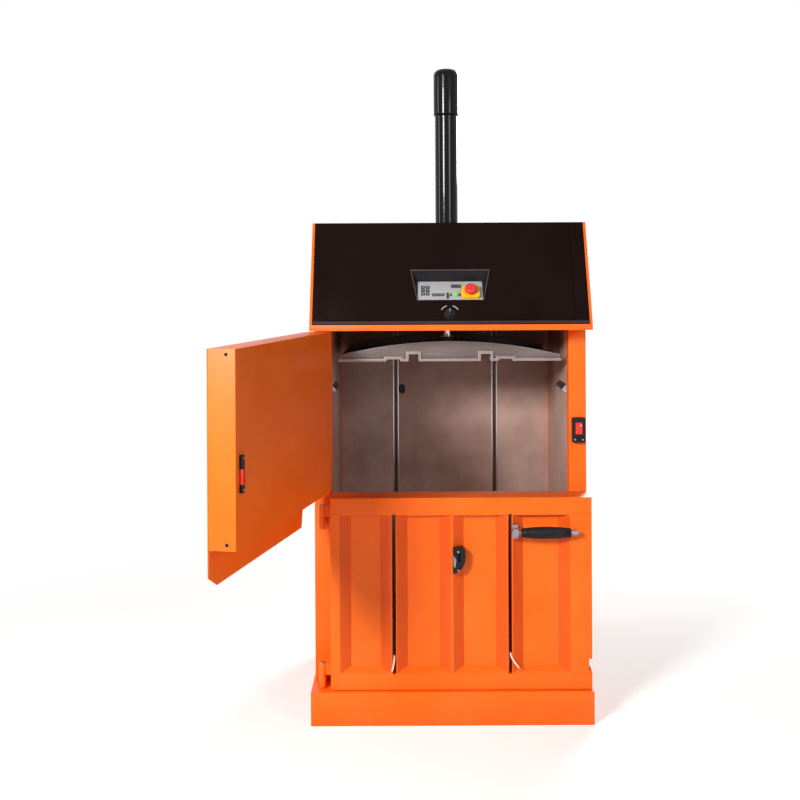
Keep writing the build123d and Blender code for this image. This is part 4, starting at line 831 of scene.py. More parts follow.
@dataclass
class RepeatTree:
    """A tree of geometry nodes with named inputs, which works on a mesh of points or lines."""

    name: str
    inputs: dict[str, str]
    sockets: dict[str, str] = field(default_factory=dict)
    tree: Tree = field(init=False)

    def start(self) -> bpy.types.NodeOutputs:
        """Make the tree with its inputs.

        Returns:
            The sockets that hand the inputs to the tree.
        """
        self.tree = bpy.data.node_groups.new(self.name, "GeometryNodeTree")
        face = self.tree.interface
        face.new_socket("Geometry", in_out="INPUT", socket_type="NodeSocketGeometry")
        for name, kind in self.inputs.items():
            self.sockets[name] = face.new_socket(name, in_out="INPUT", socket_type=kind).identifier
        face.new_socket("Geometry", in_out="OUTPUT", socket_type="NodeSocketGeometry")
        return add_node(self.tree, "NodeGroupInput").outputs

    def end(self, spread: Socket, material: Socket) -> None:
        """Make the instances real, give them their material and end the tree.

        Args:
            spread: The instances.
            material: What they are made of.
        """
        real = add_node(self.tree, "GeometryNodeRealizeInstances", inputs={"Geometry": spread})
        dressed = add_node(self.tree, "GeometryNodeSetMaterial", inputs={
            "Geometry": real.outputs[0], "Material": material})
        add_node(self.tree, "NodeGroupOutput", inputs={0: dressed.outputs[0]})

    def run(self, base: bpy.types.Mesh, name: str, values: dict[str, Any]) -> bpy.types.Mesh:
        """Run the tree on a mesh.

        Args:
            base: The points or lines.
            name: The new mesh's name.
            values: The inputs' values by their names.

        Returns:
            One plain mesh.
        """
        holder = link_mesh(name + "_seats", base)
        modifier = holder.modifiers.new(self.name, "NODES")
        modifier.node_group = self.tree
        for key, value in values.items():
            modifier[self.sockets[key]] = value
        return baked(holder, name)


@dataclass
class FastenerTree(RepeatTree):
    """Puts one fastener on each point, along the point's own direction, each turned by chance."""

    name: str = "fasteners"
    inputs: dict[str, str] = field(default_factory=lambda: {
        "Head": "NodeSocketObject", "Size": "NodeSocketFloat", "Spin": "NodeSocketFloat",
        "Seed": "NodeSocketInt", "Material": "NodeSocketMaterial"})
    heads: dict[Head, bpy.types.Object] = field(default_factory=dict)

    def __post_init__(self) -> None:
        """Build the tree."""
        given = self.start()
        tree = self.tree
        way, up = (add_node(tree, "GeometryNodeInputNamedAttribute", {"data_type": "FLOAT_VECTOR"},
                            {"Name": name}).outputs["Attribute"] for name in ("way", "up"))
        stood = add_node(tree, "FunctionNodeAlignRotationToVector", {"axis": "Z"}, {"Vector": way})
        faced = add_node(tree, "FunctionNodeAlignRotationToVector", {"axis": "Y", "pivot_axis": "Z"},
                         {"Rotation": stood.outputs[0], "Vector": up})
        chance = add_node(tree, "FunctionNodeRandomValue", {"data_type": "FLOAT"},
                          {2: 0.0, 3: given["Spin"], 8: given["Seed"]})
        twist = add_node(tree, "FunctionNodeAxisAngleToRotation", inputs={
            "Axis": (0, 0, 1), "Angle": chance.outputs[1]})
        turned = add_node(tree, "FunctionNodeRotateRotation", {"rotation_space": "LOCAL"}, {
            "Rotation": faced.outputs[0], "Rotate By": twist.outputs[0]})
        head = add_node(tree, "GeometryNodeObjectInfo", inputs={"Object": given["Head"]})
        spread = add_node(tree, "GeometryNodeInstanceOnPoints", inputs={
            "Points": given["Geometry"], "Instance": head.outputs["Geometry"],
            "Rotation": turned.outputs[0], "Scale": given["Size"]})
        self.end(spread.outputs[0], given["Material"])

    def make(self, name: str, places: Seats, head: Head, size: float,
             material: bpy.types.Material, seed: int = 0) -> bpy.types.Mesh:
        """Make the fasteners of one kind on one body.

        Args:
            name: The mesh's name.
            places: Where each one stands, and the way that it points.
            head: The kind.
            size: The head's radius in metres, or 1 for a louvre.
            material: What they are made of.
            seed: Turns the heads by chance, where it isn't 0.

        Returns:
            One plain mesh.
        """
        places = list(places)
        if head not in self.heads:
            self.heads[head] = bpy.data.objects.new(head.value, head_mesh(head))
        base = bpy.data.meshes.new(name + "_seats")
        base.from_pydata([tuple(spot) for spot, _ in places], [], [])
        for key in ("way", "up"):
            base.attributes.new(key, "FLOAT_VECTOR", "POINT")
        base.attributes["way"].data.foreach_set("vector", [value for _, out in places for value in out])
        # A head that itself points up or down is turned by the direction to the rear instead
        base.attributes["up"].data.foreach_set("vector", [
            value for _, out in places for value in ((0, 0, 1) if abs(out[2]) < 0.9 else (0, 1, 0))])
        return self.run(base, name, {
            "Head": self.heads[head], "Size": size, "Spin": math.pi if seed else 0.0, "Seed": seed,
            "Material": material})

    def close(self) -> None:
        """Remove the patterns of the heads."""
        for pattern in self.heads.values():
            bpy.data.objects.remove(pattern)


@dataclass
class WeldTree(RepeatTree):
    """Lays a fillet weld along lines, as the overlapping scales that a welder's hand leaves."""

    name: str = "weld_scales"
    inputs: dict[str, str] = field(default_factory=lambda: {
        "Width": "NodeSocketFloat", "Pitch": "NodeSocketFloat", "Seed": "NodeSocketInt",
        "Material": "NodeSocketMaterial"})
    # The smallest and the largest scale, how flat each lies, and their pitch, as shares of the width
    scale_sizes: Pair = (0.85, 1.15)
    flatness: float = 0.7
    pitch: float = 1.1

    def __post_init__(self) -> None:
        """Build the tree."""
        given = self.start()
        tree = self.tree
        lines = add_node(tree, "GeometryNodeMeshToCurve", inputs={"Mesh": given["Geometry"]})
        spots = add_node(tree, "GeometryNodeCurveToPoints", {"mode": "LENGTH"}, {
            "Curve": lines.outputs[0], "Length": given["Pitch"]})
        scale = add_node(tree, "GeometryNodeMeshUVSphere", inputs={
            "Segments": 8, "Rings": 4, "Radius": given["Width"]})
        chance = add_node(tree, "FunctionNodeRandomValue", {"data_type": "FLOAT"},
                          {2: self.scale_sizes[0], 3: self.scale_sizes[1], 8: given["Seed"]})
        size = add_node(tree, "ShaderNodeCombineXYZ", inputs={
            "X": chance.outputs[1], "Y": chance.outputs[1], "Z": self.flatness})
        spread = add_node(tree, "GeometryNodeInstanceOnPoints", inputs={
            "Points": spots.outputs["Points"], "Instance": scale.outputs["Mesh"],
            "Rotation": spots.outputs["Rotation"], "Scale": size.outputs[0]})
        self.end(spread.outputs[0], given["Material"])

    def make(self, name: str, lines: Seats, width: float, material: bpy.types.Material,
             seed: int) -> bpy.types.Mesh:
        """Make the welds of one body.

        Args:
            name: The mesh's name.
            lines: The two ends of each weld.
            width: The half width of its scales, in metres.
            material: The paint over it.
            seed: Varies the scales by chance.

        Returns:
            One plain mesh.
        """
        ends = [tuple(end) for line in lines for end in line]
        base = bpy.data.meshes.new(name + "_seats")
        base.from_pydata(ends, [(index, index + 1) for index in range(0, len(ends), 2)], [])
        return self.run(base, name, {"Width": width, "Pitch": width * self.pitch, "Seed": seed,
                                     "Material": material})


def baked(holder: bpy.types.Object, name: str) -> bpy.types.Mesh:
    """Turn an object with modifiers into a plain mesh, and remove the object.

    Args:
        holder: The object with its modifiers.
        name: The new mesh's name.

    Returns:
        The plain mesh.
    """
    bpy.context.view_layer.update()
    ready = holder.evaluated_get(bpy.context.evaluated_depsgraph_get())
    mesh = bpy.data.meshes.new_from_object(ready)
    mesh.name = name
    for modifier in list(holder.modifiers):
        holder.modifiers.remove(modifier)
    bpy.data.objects.remove(holder)
    return mesh


# ---------------------------------------------------------------- the baler

ACROSS = Vector((1, 0, 0))
LEFT = Vector((-1, 0, 0))
UP = Vector((0, 0, 1))
FRONT = Vector((0, -1, 0))
REAR = Vector((0, 1, 0))
# The hood's slope, and the control plate at half a right angle in its pocket
SLOPE = Placement(Vector((0, -0.390, 1.285)), ACROSS, Vector((0, 0.43747, 0.89924)))
PLATE = Placement(Vector((0, -0.3577, 1.3605)), ACROSS, Vector((0, math.sqrt(0.5), math.sqrt(0.5))))
# How far back the cylinder and its pressure pipe stand
CYLINDER_Y = 0.040
PIPE_Y = 0.098
# The line of hinge pins, and the open loading door: along it from the hinge, and in through its thickness
HINGE = Vector((-0.420, -0.340, 0))
DOOR_TURN = math.radians(-102.6)
DOOR_ALONG = Vector((math.cos(DOOR_TURN), math.sin(DOOR_TURN), 0))
DOOR_IN = Vector((-math.sin(DOOR_TURN), math.cos(DOOR_TURN), 0))


def door_point(along: float, inward: float, height: float) -> Vector:
    """A point of the open loading door."""
    return HINGE + DOOR_ALONG * along + DOOR_IN * inward + UP * height


def seats(xs: Iterable[float], y: float, zs: Sequence[float], way: Vector) -> list[tuple[Vector, Vector]]:
    """Places for fasteners on an upright face: every x with every z, all pointing one way."""
    return [(Vector((x, y, z)), way) for x in xs for z in zs]


@dataclass
class Kit:
    """What every sub-assembly shares: the finishes and the trees that repeat."""

    finishes: FinishBook = field(default_factory=FinishBook)
    fasteners: FastenerTree = field(default_factory=FastenerTree)
    welds: WeldTree = field(default_factory=WeldTree)

    def piece(self, name: str, build: Build, body: str, slot: str, finish: str = "",
              rounding: float = 0.0, smooth: float = SMOOTH_ANGLE) -> bpy.types.Object:
        """Make one piece from a function that adds its shapes.

        Args:
            name: The piece's name.
            build: Adds the shapes.
            body: The body that it rides on.
            slot: The record's slot of its material.
            finish: Its own finish, where it isn't the slot's.
            rounding: The width of its rounded edges, in metres.
            smooth: Edges sharper than this stay sharp, in degrees.

        Returns:
            The piece.
        """
        mesh = mesh_from(name, build, rounding)
        return finish_piece(name, mesh, self.finishes.get(finish or slot), body, smooth)

    def screws(self, name: str, places: Seats, head: Head, size: float, body: str,
               slot: str = "zinc_steel", seed: int = 0) -> None:
        """Set fasteners of one kind on one body, by the tree of geometry nodes.

        Args:
            name: The piece's name.
            places: Where each one stands, and the way that it points.
            head: The kind.
            size: The head's radius in metres, or 1 for a louvre.
            body: The body that they ride on.
            slot: The record's slot of their material.
            seed: Turns the heads by chance, where it isn't 0.
        """
        material = self.finishes.get(slot)
        mesh = self.fasteners.make(name, places, head, size, material, seed)
        finish_piece(name, mesh, material, body)

    def weld(self, name: str, lines: Seats, width: float, body: str, slot: str, seed: int) -> None:
        """Lay fillet welds on one body, by the tree of geometry nodes.

        Args:
            name: The piece's name.
            lines: The two ends of each weld.
            width: Half the width of the bead, in metres.
            body: The body that they ride on.
            slot: The record's slot of the paint over them.
            seed: Varies the scales by chance.
        """
        material = self.finishes.get(slot)
        mesh = self.welds.make(name, lines, width, material, seed)
        finish_piece(name, mesh, material, body, WELD_SMOOTH)


@dataclass
class Shell:
    """The CAD nodes themselves: each gets its finish, and folded sheets get their rounded edges."""

    finishes: FinishBook
    # How wide the edges of each folded sheet, plate or moulding are rounded, in metres
    rounded_nodes: dict[str, float] = field(default_factory=lambda: {
        "base_frame": 0.002, "front_posts": 0.0016, "rear_posts": 0.0016, "hood_floor": 0.0012,
        "hood_cheek_left": 0.0012, "hood_cheek_right": 0.0012, "hood_cover": 0.0012, "hood_top": 0.0008,
        "loading_door_panel": 0.0011, "loading_door_tray": 0.0014, "bale_door_frame": 0.0016,
        "bale_door_panel_left": 0.0024, "bale_door_panel_middle": 0.0024, "bale_door_panel_right": 0.0024,
        "platen_plate": 0.0015, "platen_webs": 0.0015, "chamber_floor": 0.001, "lever_bracket": 0.0012,
        "back_wall": 0.0022, "left_wall": 0.0018, "right_wall": 0.0018,
        "door_interlock": 0.001, "door_actuator": 0.001, "estop_base": 0.001, "twine_cutter": 0.0012,
        "control_pocket": 0.0008, "cylinder_flange": 0.0015, "hinge_brackets": 0.0008,
        "bale_door_knuckles": 0.0008, "loading_door_knuckles": 0.0008, "latch_lever": 0.0006,
        "selector_knob": 0.0008, "selector_bezel": 0.0006, "start_button": 0.0008,
        "interlock_head": 0.0005, "retainer_claw_left": 0.0008, "retainer_claw_right": 0.0008,
        "bale_door_liner": 0.0008,
    })
    # These have the sloping flanks of a pressed pan, which get painted shade
    shaded_flank_nodes: tuple[str, ...] = ("bale_door_panel_left", "bale_door_panel_middle",
                                      "bale_door_panel_right")
    # The platen plate is a paler grey: partly wear from what it presses, partly a painted highlight on its
    # lit lips
    own_finish: dict[str, str] = field(default_factory=lambda: {"platen_plate": "worn_lip"})

    def dress(self) -> None:
        """Give every node its material, and its edges."""
        slots = {part["node"]: part["material_slot"] for part in frame["record"]["subparts"]}
        bodies = frame["record"]["behaviour"]["bodies"]
        owner = {node: body for body, nodes in bodies.items() for node in nodes}
        for node, piece in frame["nodes"].items():
            material = self.finishes.get(self.own_finish.get(node, slots[node]))
            piece.data.materials.clear()
            piece.data.materials.append(material)
            if node in self.rounded_nodes:
                mesh = edged_copy(node, self.rounded_nodes[node], node in self.shaded_flank_nodes)
                copy = finish_piece(node + "_sheet", mesh, material, owner[node])
                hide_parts(node)
            log.info("%s: %s", node, material.name)


@dataclass
class ControlPanel:
    """The sloping control plate in its pocket: foil, keys, display window and the pocket's rim.

    Places run across and up the plate, from the middle of its lower edge. Heights start at its front.
    """

    kit: Kit
    plate_front: float = 0.002
    foil_size: tuple[float, float, float] = (0.132, 0.073, 0.003)
    foil_middle: Pair = (-0.0285, 0.0445)
    foil_heights: Pair = (-0.0003, 0.0003)
    key_size: float = 0.0130
    key_corner: float = 0.002
    key_heights: Pair = (0.0001, 0.0010)
    block_columns: Pair = (-0.0885, -0.0735)
    block_rows: tuple[float, ...] = (0.0285, 0.0435, 0.0585)
    row_columns: tuple[float, ...] = (-0.0535, -0.0395, -0.0255)
    row_height: float = 0.0245
    # Dark bars without a sign: one by itself, and one to each side of the start button
    lone_bar: tuple[float, float, float] = (0.0085, 0.0265, 0.002)
    lone_middle: Pair = (-0.0085, 0.0205)
    side_bar: tuple[float, float, float] = (0.006, 0.012, 0.0012)
    side_shift: float = 0.0145
    # The signs on the keys: how far an arrow's point and its foot reach, and the size of a bar
    arrow: Pair = (0.0026, 0.0018)
    sign_bar: tuple[float, float, float] = (0.0052, 0.0014, 0.0006)
    sign_heights: Pair = (0.0009, 0.00115)
    window_size: tuple[float, float, float] = (0.032, 0.015, 0.0012)
    window_middle: Pair = (0.019, 0.062)
    window_heights: Pair = (0.001, 0.0019)
    start: Pair = (0.016, 0.024)
    collar_section: tuple[Pair, ...] = (
        (0.0015, 0.0082), (0.0015, 0.0102), (0.0032, 0.0102), (0.0040, 0.0094), (0.0040, 0.0082))
    screw_places: tuple[Pair, ...] = ((-0.100, 0.0095), (-0.100, 0.080), (0.100, 0.080))
    # The rim lies on the slope: its top from foot to head, and the outline of its right side
    rim_heights: Pair = (0.0035, 0.0052)
    rim_side_drop: float = 0.0003
    rim_top: tuple[Pair, Pair] = ((0.128, 0.1895), (0.130, 0.1945))
    rim_side: tuple[Pair, ...] = ((0.1055, 0.083), (0.1085, 0.083), (0.129, 0.1893), (0.1255, 0.1893))

    def build(self) -> None:
        """Make all pieces."""
        kit = self.kit
        kit.piece("panel_foil", self.foil, "frame", "grey_plastic", rounding=0.0001)
        kit.piece("panel_keys", self.keys, "frame", "black_plastic", "foil_key", 0.0003)
        kit.piece("panel_marks", self.marks, "frame", "grey_plastic", "foil_mark")
        kit.piece("display_window", self.window, "frame", "black_plastic", "screen", 0.0002)
        kit.piece("start_collar", self.collar, "frame", "zinc_steel", rounding=0.0003)
        kit.screws("panel_screws", [(PLATE.at(x, y, self.plate_front), PLATE.out)
                                    for x, y in self.screw_places],
                   Head.BUTTON, 0.0024, "frame", seed=3)
        kit.piece("pocket_rim", self.rim, "frame", "black_cover_paint", "rim_paint", 0.0004)

    def lay(self, work: Work, outline: Sequence[Pair], heights: Pair) -> None:
        """Add a flat shape on the plate."""
        slab(work, PLATE, outline, self.plate_front + heights[0], self.plate_front + heights[1])

    def foil(self, work: Work) -> None:
        """The grey foil on the plate, a hair thick, with a step round it."""
        self.lay(work, rounded(*self.foil_size, self.foil_middle), self.foil_heights)

    def window(self, work: Work) -> None:
        """The dark window over the display."""
        self.lay(work, rounded(*self.window_size, self.window_middle), self.window_heights)

    def key_places(self) -> list[Pair]:
        """The middles of the square keys: a block of six, and a row of three."""
        block = [(x, y) for x in self.block_columns for y in self.block_rows]
        return block + [(x, self.row_height) for x in self.row_columns]

    def keys(self, work: Work) -> None:
        """Add the dark keys of the foil, each a shallow pillow, and its dark bars.

        Args:
            work: The mesh that takes them.
        """
        for middle in self.key_places():
            outline = rounded(self.key_size, self.key_size, self.key_corner, middle)
            self.lay(work, outline, self.key_heights)
        self.lay(work, rounded(*self.lone_bar, self.lone_middle), self.key_heights)
        for side in (-self.side_shift, self.side_shift):
            middle = (self.start[0] + side, self.start[1])
            self.lay(work, rounded(*self.side_bar, middle), self.key_heights)

    def marks(self, work: Work) -> None:
        """Add plain signs on the keys: arrows up, bars and arrows down, with no letters.

        Args:
            work: The mesh that takes them.
        """
        reach, foot = self.arrow
        for index, (x, y) in enumerate(self.key_places()):
            way = (1, 0, -1)[index % 3]
            outline = rounded(*self.sign_bar, (x, y))
            if way:
                outline = [(x - way * reach, y - way * foot), (x + way * reach, y - way * foot),
                           (x, y + way * reach)]
            self.lay(work, outline, self.sign_heights)

    def collar(self, work: Work) -> None:
        """The plated ring round the start button."""
        lathe(work, PLATE.at(*self.start), PLATE.out, self.collar_section, 28, ring=True)

    def rim(self, work: Work) -> None:
        """Add the turned-out lip along the top and the two sides of the pocket's mouth.

        Args:
            work: The mesh that takes it.
        """
        low, high = self.rim_heights
        (foot, foot_up), (head, head_up) = self.rim_top
        slab(work, SLOPE, [(-foot, foot_up), (foot, foot_up), (head, head_up), (-head, head_up)], low, high)
        for side in (-1, 1):
            outline = [(side * across, up) for across, up in self.rim_side]
            slab(work, SLOPE, outline[::side], low, high - self.rim_side_drop)


@dataclass
class SelectorDial:
    """The turning switch under the plate: its pale arcs, which are painted highlights, and the line on its
    wing.
    """

    kit: Kit
    centre: Pair = (-0.003, 0.035)
    arc_radius: float = 0.029
    arc_width: float = 0.0036
    # In degrees from the right, anticlockwise, and in heights over the slope
    arc_turns: tuple[Pair, ...] = ((108, 150), (30, 72))
    arc_steps: int = 8
    arc_heights: Pair = (0.0038, 0.00435)
    line_size: tuple[float, float, float] = (0.0016, 0.010, 0.0006)
    line_shift: float = 0.007
    line_heights: Pair = (0.0225, 0.0236)

    def build(self) -> None:
        """Make both pieces."""
        self.kit.piece("selector_arcs", self.arcs, "frame", "black_cover_paint", "dial_mark")
        self.kit.piece("selector_line", self.line, "selector_knob", "black_plastic", "foil_mark", 0.0002)

    def arcs(self, work: Work) -> None:
        """Add a pale arc to each side, a painted highlight of light caught round the dial's ring.

        Args:
            work: The mesh that takes them.
        """
        outer = self.arc_radius + self.arc_width
        for low, high in self.arc_turns:
            turns = [math.radians(low + (high - low) * step / self.arc_steps)
                     for step in range(self.arc_steps + 1)]
            outline = [(self.centre[0] + radius * math.cos(turn), self.centre[1] + radius * math.sin(turn))
                       for radius, way in ((outer, 1), (self.arc_radius, -1)) for turn in turns[::way]]
            slab(work, SLOPE, outline, *self.arc_heights)

    def line(self, work: Work) -> None:
        """The pale line let into the wing of the knob."""
        middle = (self.centre[0], self.centre[1] + self.line_shift)
        slab(work, SLOPE, rounded(*self.line_size, middle), *self.line_heights)


@dataclass
class Hood:
    """The hood's trim: the cover's hem, paler as a painted highlight, its screws, the rear louvres and the
    seals.
    """

    kit: Kit
    hem_half: float = 0.444
    hem: Pair = (0.0022, 0.0125)
    hem_heights: Pair = (-0.0005, 0.0022)
    cover_screw_x: float = 0.424
    cover_screw_rows: tuple[float, ...] = (0.045, 0.185, 0.345)
    # The cheeks' screws are let in, and stand out by about a millimetre
    cheek_seat: float = 0.4531
    cheek_screw_ys: tuple[float, ...] = (-0.33, -0.11, 0.13, 0.36)
    cheek_screw_z: float = 1.300
    rear_face: float = 0.390
    rear_screw_xs: tuple[float, ...] = (-0.425, -0.14, 0.14, 0.425)
    rear_screw_zs: Pair = (1.302, 1.598)
    vent_xs: Pair = (-0.130, 0.130)
    vent_height: float = 1.4915
    vent_pitch: float = 0.024
    vent_rows: int = 6
    roof: float = 1.618
    # For each seal its inner radius, its width and its height
    barrel_seal: tuple[float, float, float] = (0.0395, 0.010, 0.006)
    pipe_seal: tuple[float, float, float] = (0.0061, 0.006, 0.005)
    seal_gap: float = 0.0002

    def build(self) -> None:
        """Make all pieces."""
        kit = self.kit
        # The hem's paler black is a painted highlight along the cover's lower edge
        kit.piece("cover_hem", self.hem_strip, "frame", "black_cover_paint", "hem_paint", 0.0006)
        kit.screws("cover_screws", [(SLOPE.at(x, up), SLOPE.out)
                                    for x in (-self.cover_screw_x, self.cover_screw_x)
                                    for up in self.cover_screw_rows],
                   Head.BUTTON, 0.0048, "frame", "black_cover_paint", 5)
        kit.screws("cheek_screws", [(Vector((x, y, self.cheek_screw_z)), way)
                                    for x, way in ((-self.cheek_seat, LEFT), (self.cheek_seat, ACROSS))
                                    for y in self.cheek_screw_ys],
                   Head.BUTTON, 0.0055, "frame", seed=7)
        heights = [self.vent_height + (row - (self.vent_rows - 1) / 2) * self.vent_pitch
                   for row in range(self.vent_rows)]
        kit.screws("rear_louvres", seats(self.vent_xs, self.rear_face, heights, REAR), Head.LOUVRE, 1.0,
                   "frame", "black_cover_paint")
        kit.screws("hood_rear_screws", seats(self.rear_screw_xs, self.rear_face, self.rear_screw_zs, REAR),
                   Head.BUTTON, 0.0055, "frame", "black_plastic", 9)
        kit.piece("barrel_seal", lambda work: self.seal(work, CYLINDER_Y, self.barrel_seal), "frame",
                  "black_plastic")
        kit.piece("pipe_grommet", lambda work: self.seal(work, PIPE_Y, self.pipe_seal), "frame",
                  "black_plastic")

    def hem_strip(self, work: Work) -> None:
        """The cover's folded lower edge, in a paler black that is a painted highlight along it."""
        low, high = self.hem
        slab(work, SLOPE, box((-self.hem_half, low), (self.hem_half, high)), *self.hem_heights)

    def seal(self, work: Work, y: float, size: tuple[float, float, float]) -> None:
        """Add a moulded ring that closes the gap round an upright pipe in the roof.

        Args:
            work: The mesh that takes it.
            y: How far back the pipe stands.
            size: The ring's inner radius, its width outwards and its height.
        """
        radius, width, height = size
        inner = radius + self.seal_gap
        section = [(-0.001, inner), (-0.001, radius + width), (height * 0.35, radius + width * 0.96),
                   (height * 0.75, radius + width * 0.6), (height, radius + width * 0.3), (height, inner)]
        lathe(work, Vector((0, y, self.roof)), UP, section, 32, ring=True)


@dataclass
class Press:
    """The press itself: welds and bolts of the platen, and the fittings on the cylinder."""

    kit: Kit
    flange_top: float = 1.223
    bolt_circle: float = 0.0245
    plate_top: float = 1.165
    # The welds run along the foot of the front web, between the notches of the plate
    weld_y: float = -0.2355
    weld_spans: tuple[Pair, ...] = ((-0.150, -0.142), (-0.098, 0.098), (0.142, 0.150))
    # For each union nut its length and its radius
    cap_nut: Pair = (0.009, 0.011)
    cap_nut_z: float = 2.042
    cap_nut_reach: float = 0.0165
    pipe_nut: Pair = (0.016, 0.0105)
    pipe_nut_z: float = 1.652
    nut_chamfer: float = 0.0015
    joint_z: float = 2.012
    joint_section: tuple[Pair, ...] = (
        (0.0, 0.0438), (0.0, 0.0446), (-0.0035, 0.0436), (-0.006, 0.0405), (-0.006, 0.0395))

    def build(self) -> None:
        """Make all pieces."""
        kit, radius = self.kit, self.bolt_circle
        turns = [math.radians(45 + 90 * step) for step in range(4)]
        kit.screws("rod_flange_screws", [
            (Vector((radius * math.cos(turn), CYLINDER_Y + radius * math.sin(turn), self.flange_top)), UP)
            for turn in turns], Head.HEX_BOLT, 0.0045, "ram", seed=11)
        kit.weld("platen_welds", [
            (Vector((low, self.weld_y, self.plate_top)), Vector((high, self.weld_y, self.plate_top)))
            for low, high in self.weld_spans], 0.0032, "ram", "grey_paint", 2)
        kit.piece("cap_fitting", self.fitting, "frame", "zinc_steel", rounding=0.0004)
        kit.piece("cylinder_joint", self.joint, "frame", "gloss_black_paint")

    def nut(self, work: Work, foot: Vector, axis: Vector, size: Pair) -> None:
        """Add a union nut.

        Args:
            work: The mesh that takes it.
            foot: The middle of its foot.
            axis: The way that it points.
            size: Its length up to the chamfer, and its radius.
        """
        length, radius = size
        top = length + self.nut_chamfer
        lathe(work, foot, axis, [(0, 0), (0, radius), (length, radius), (top, radius - self.nut_chamfer),
                                 (top, 0)], 6)

    def fitting(self, work: Work) -> None:
        """The nuts of the pressure pipe: one into the cylinder's cap, and one over the roof."""
        self.nut(work, Vector((0, PIPE_Y - self.cap_nut_reach, self.cap_nut_z)), REAR, self.cap_nut)
        self.nut(work, Vector((0, PIPE_Y, self.pipe_nut_z)), UP, self.pipe_nut)

    def joint(self, work: Work) -> None:
        """The weld ring between the barrel and its cap."""
        lathe(work, Vector((0, CYLINDER_Y, self.joint_z)), UP, self.joint_section, 40, ring=True)


@dataclass
class LoadingDoor:
    """The open loading door: screws of its free end, the coded band of its switch key, hinge pins."""

    kit: Kit
    length: float = 0.870
    end_screw_in: float = 0.010
    end_screw_zs: Pair = (1.248, 0.762)
    key_along: float = 0.836
    key_face: float = 0.044
    key_screw_zs: Pair = (0.898, 0.980)
    band_foot: float = 0.0352
    band_half: float = 0.0098
    band_span: Pair = (0.913, 0.952)
    band_depth: float = 0.0096
    pin_zs: tuple[float, ...] = (0.187, 0.699, 0.867, 1.217)
    # Each hinge bracket has an upright weld to both sides of the line of pins
    weld_xs: Pair = (-0.4325, -0.4075)
    weld_y: float = -0.2605
    weld_feet: tuple[float, ...] = (0.112, 0.624, 0.792, 1.142)
    weld_length: float = 0.034

    def build(self) -> None:
        """Make all pieces."""
        kit = self.kit
        kit.screws("door_end_screws", [(door_point(self.length, self.end_screw_in, z), DOOR_ALONG)
                                       for z in self.end_screw_zs],
                   Head.BUTTON, 0.0048, "loading_door", "black_plastic", 13)
        kit.piece("switch_key_band", self.key_band, "loading_door", "red_plastic", rounding=0.0005)
        kit.screws("switch_key_screws", [(door_point(self.key_along, self.key_face, z), DOOR_IN)
                                         for z in self.key_screw_zs],
                   Head.BUTTON, 0.003, "loading_door", seed=15)
        kit.screws("hinge_pin_heads", [(HINGE + UP * z, UP) for z in self.pin_zs], Head.PIN, 0.0085, "frame")
        kit.weld("hinge_welds", [
            (Vector((x, self.weld_y, z)), Vector((x, self.weld_y, z + self.weld_length)))
            for z in self.weld_feet for x in self.weld_xs], 0.0026, "frame", "orange_paint", 4)

    def key_band(self, work: Work) -> None:
        """Add a red sleeve round the middle of the key.

        Args:
            work: The mesh that takes it.
        """
        low, high = self.band_span
        place = Placement(door_point(self.key_along, self.band_foot, 0), -DOOR_ALONG, UP)
        slab(work, place, box((-self.band_half, low), (self.band_half, high)), 0.0, self.band_depth)


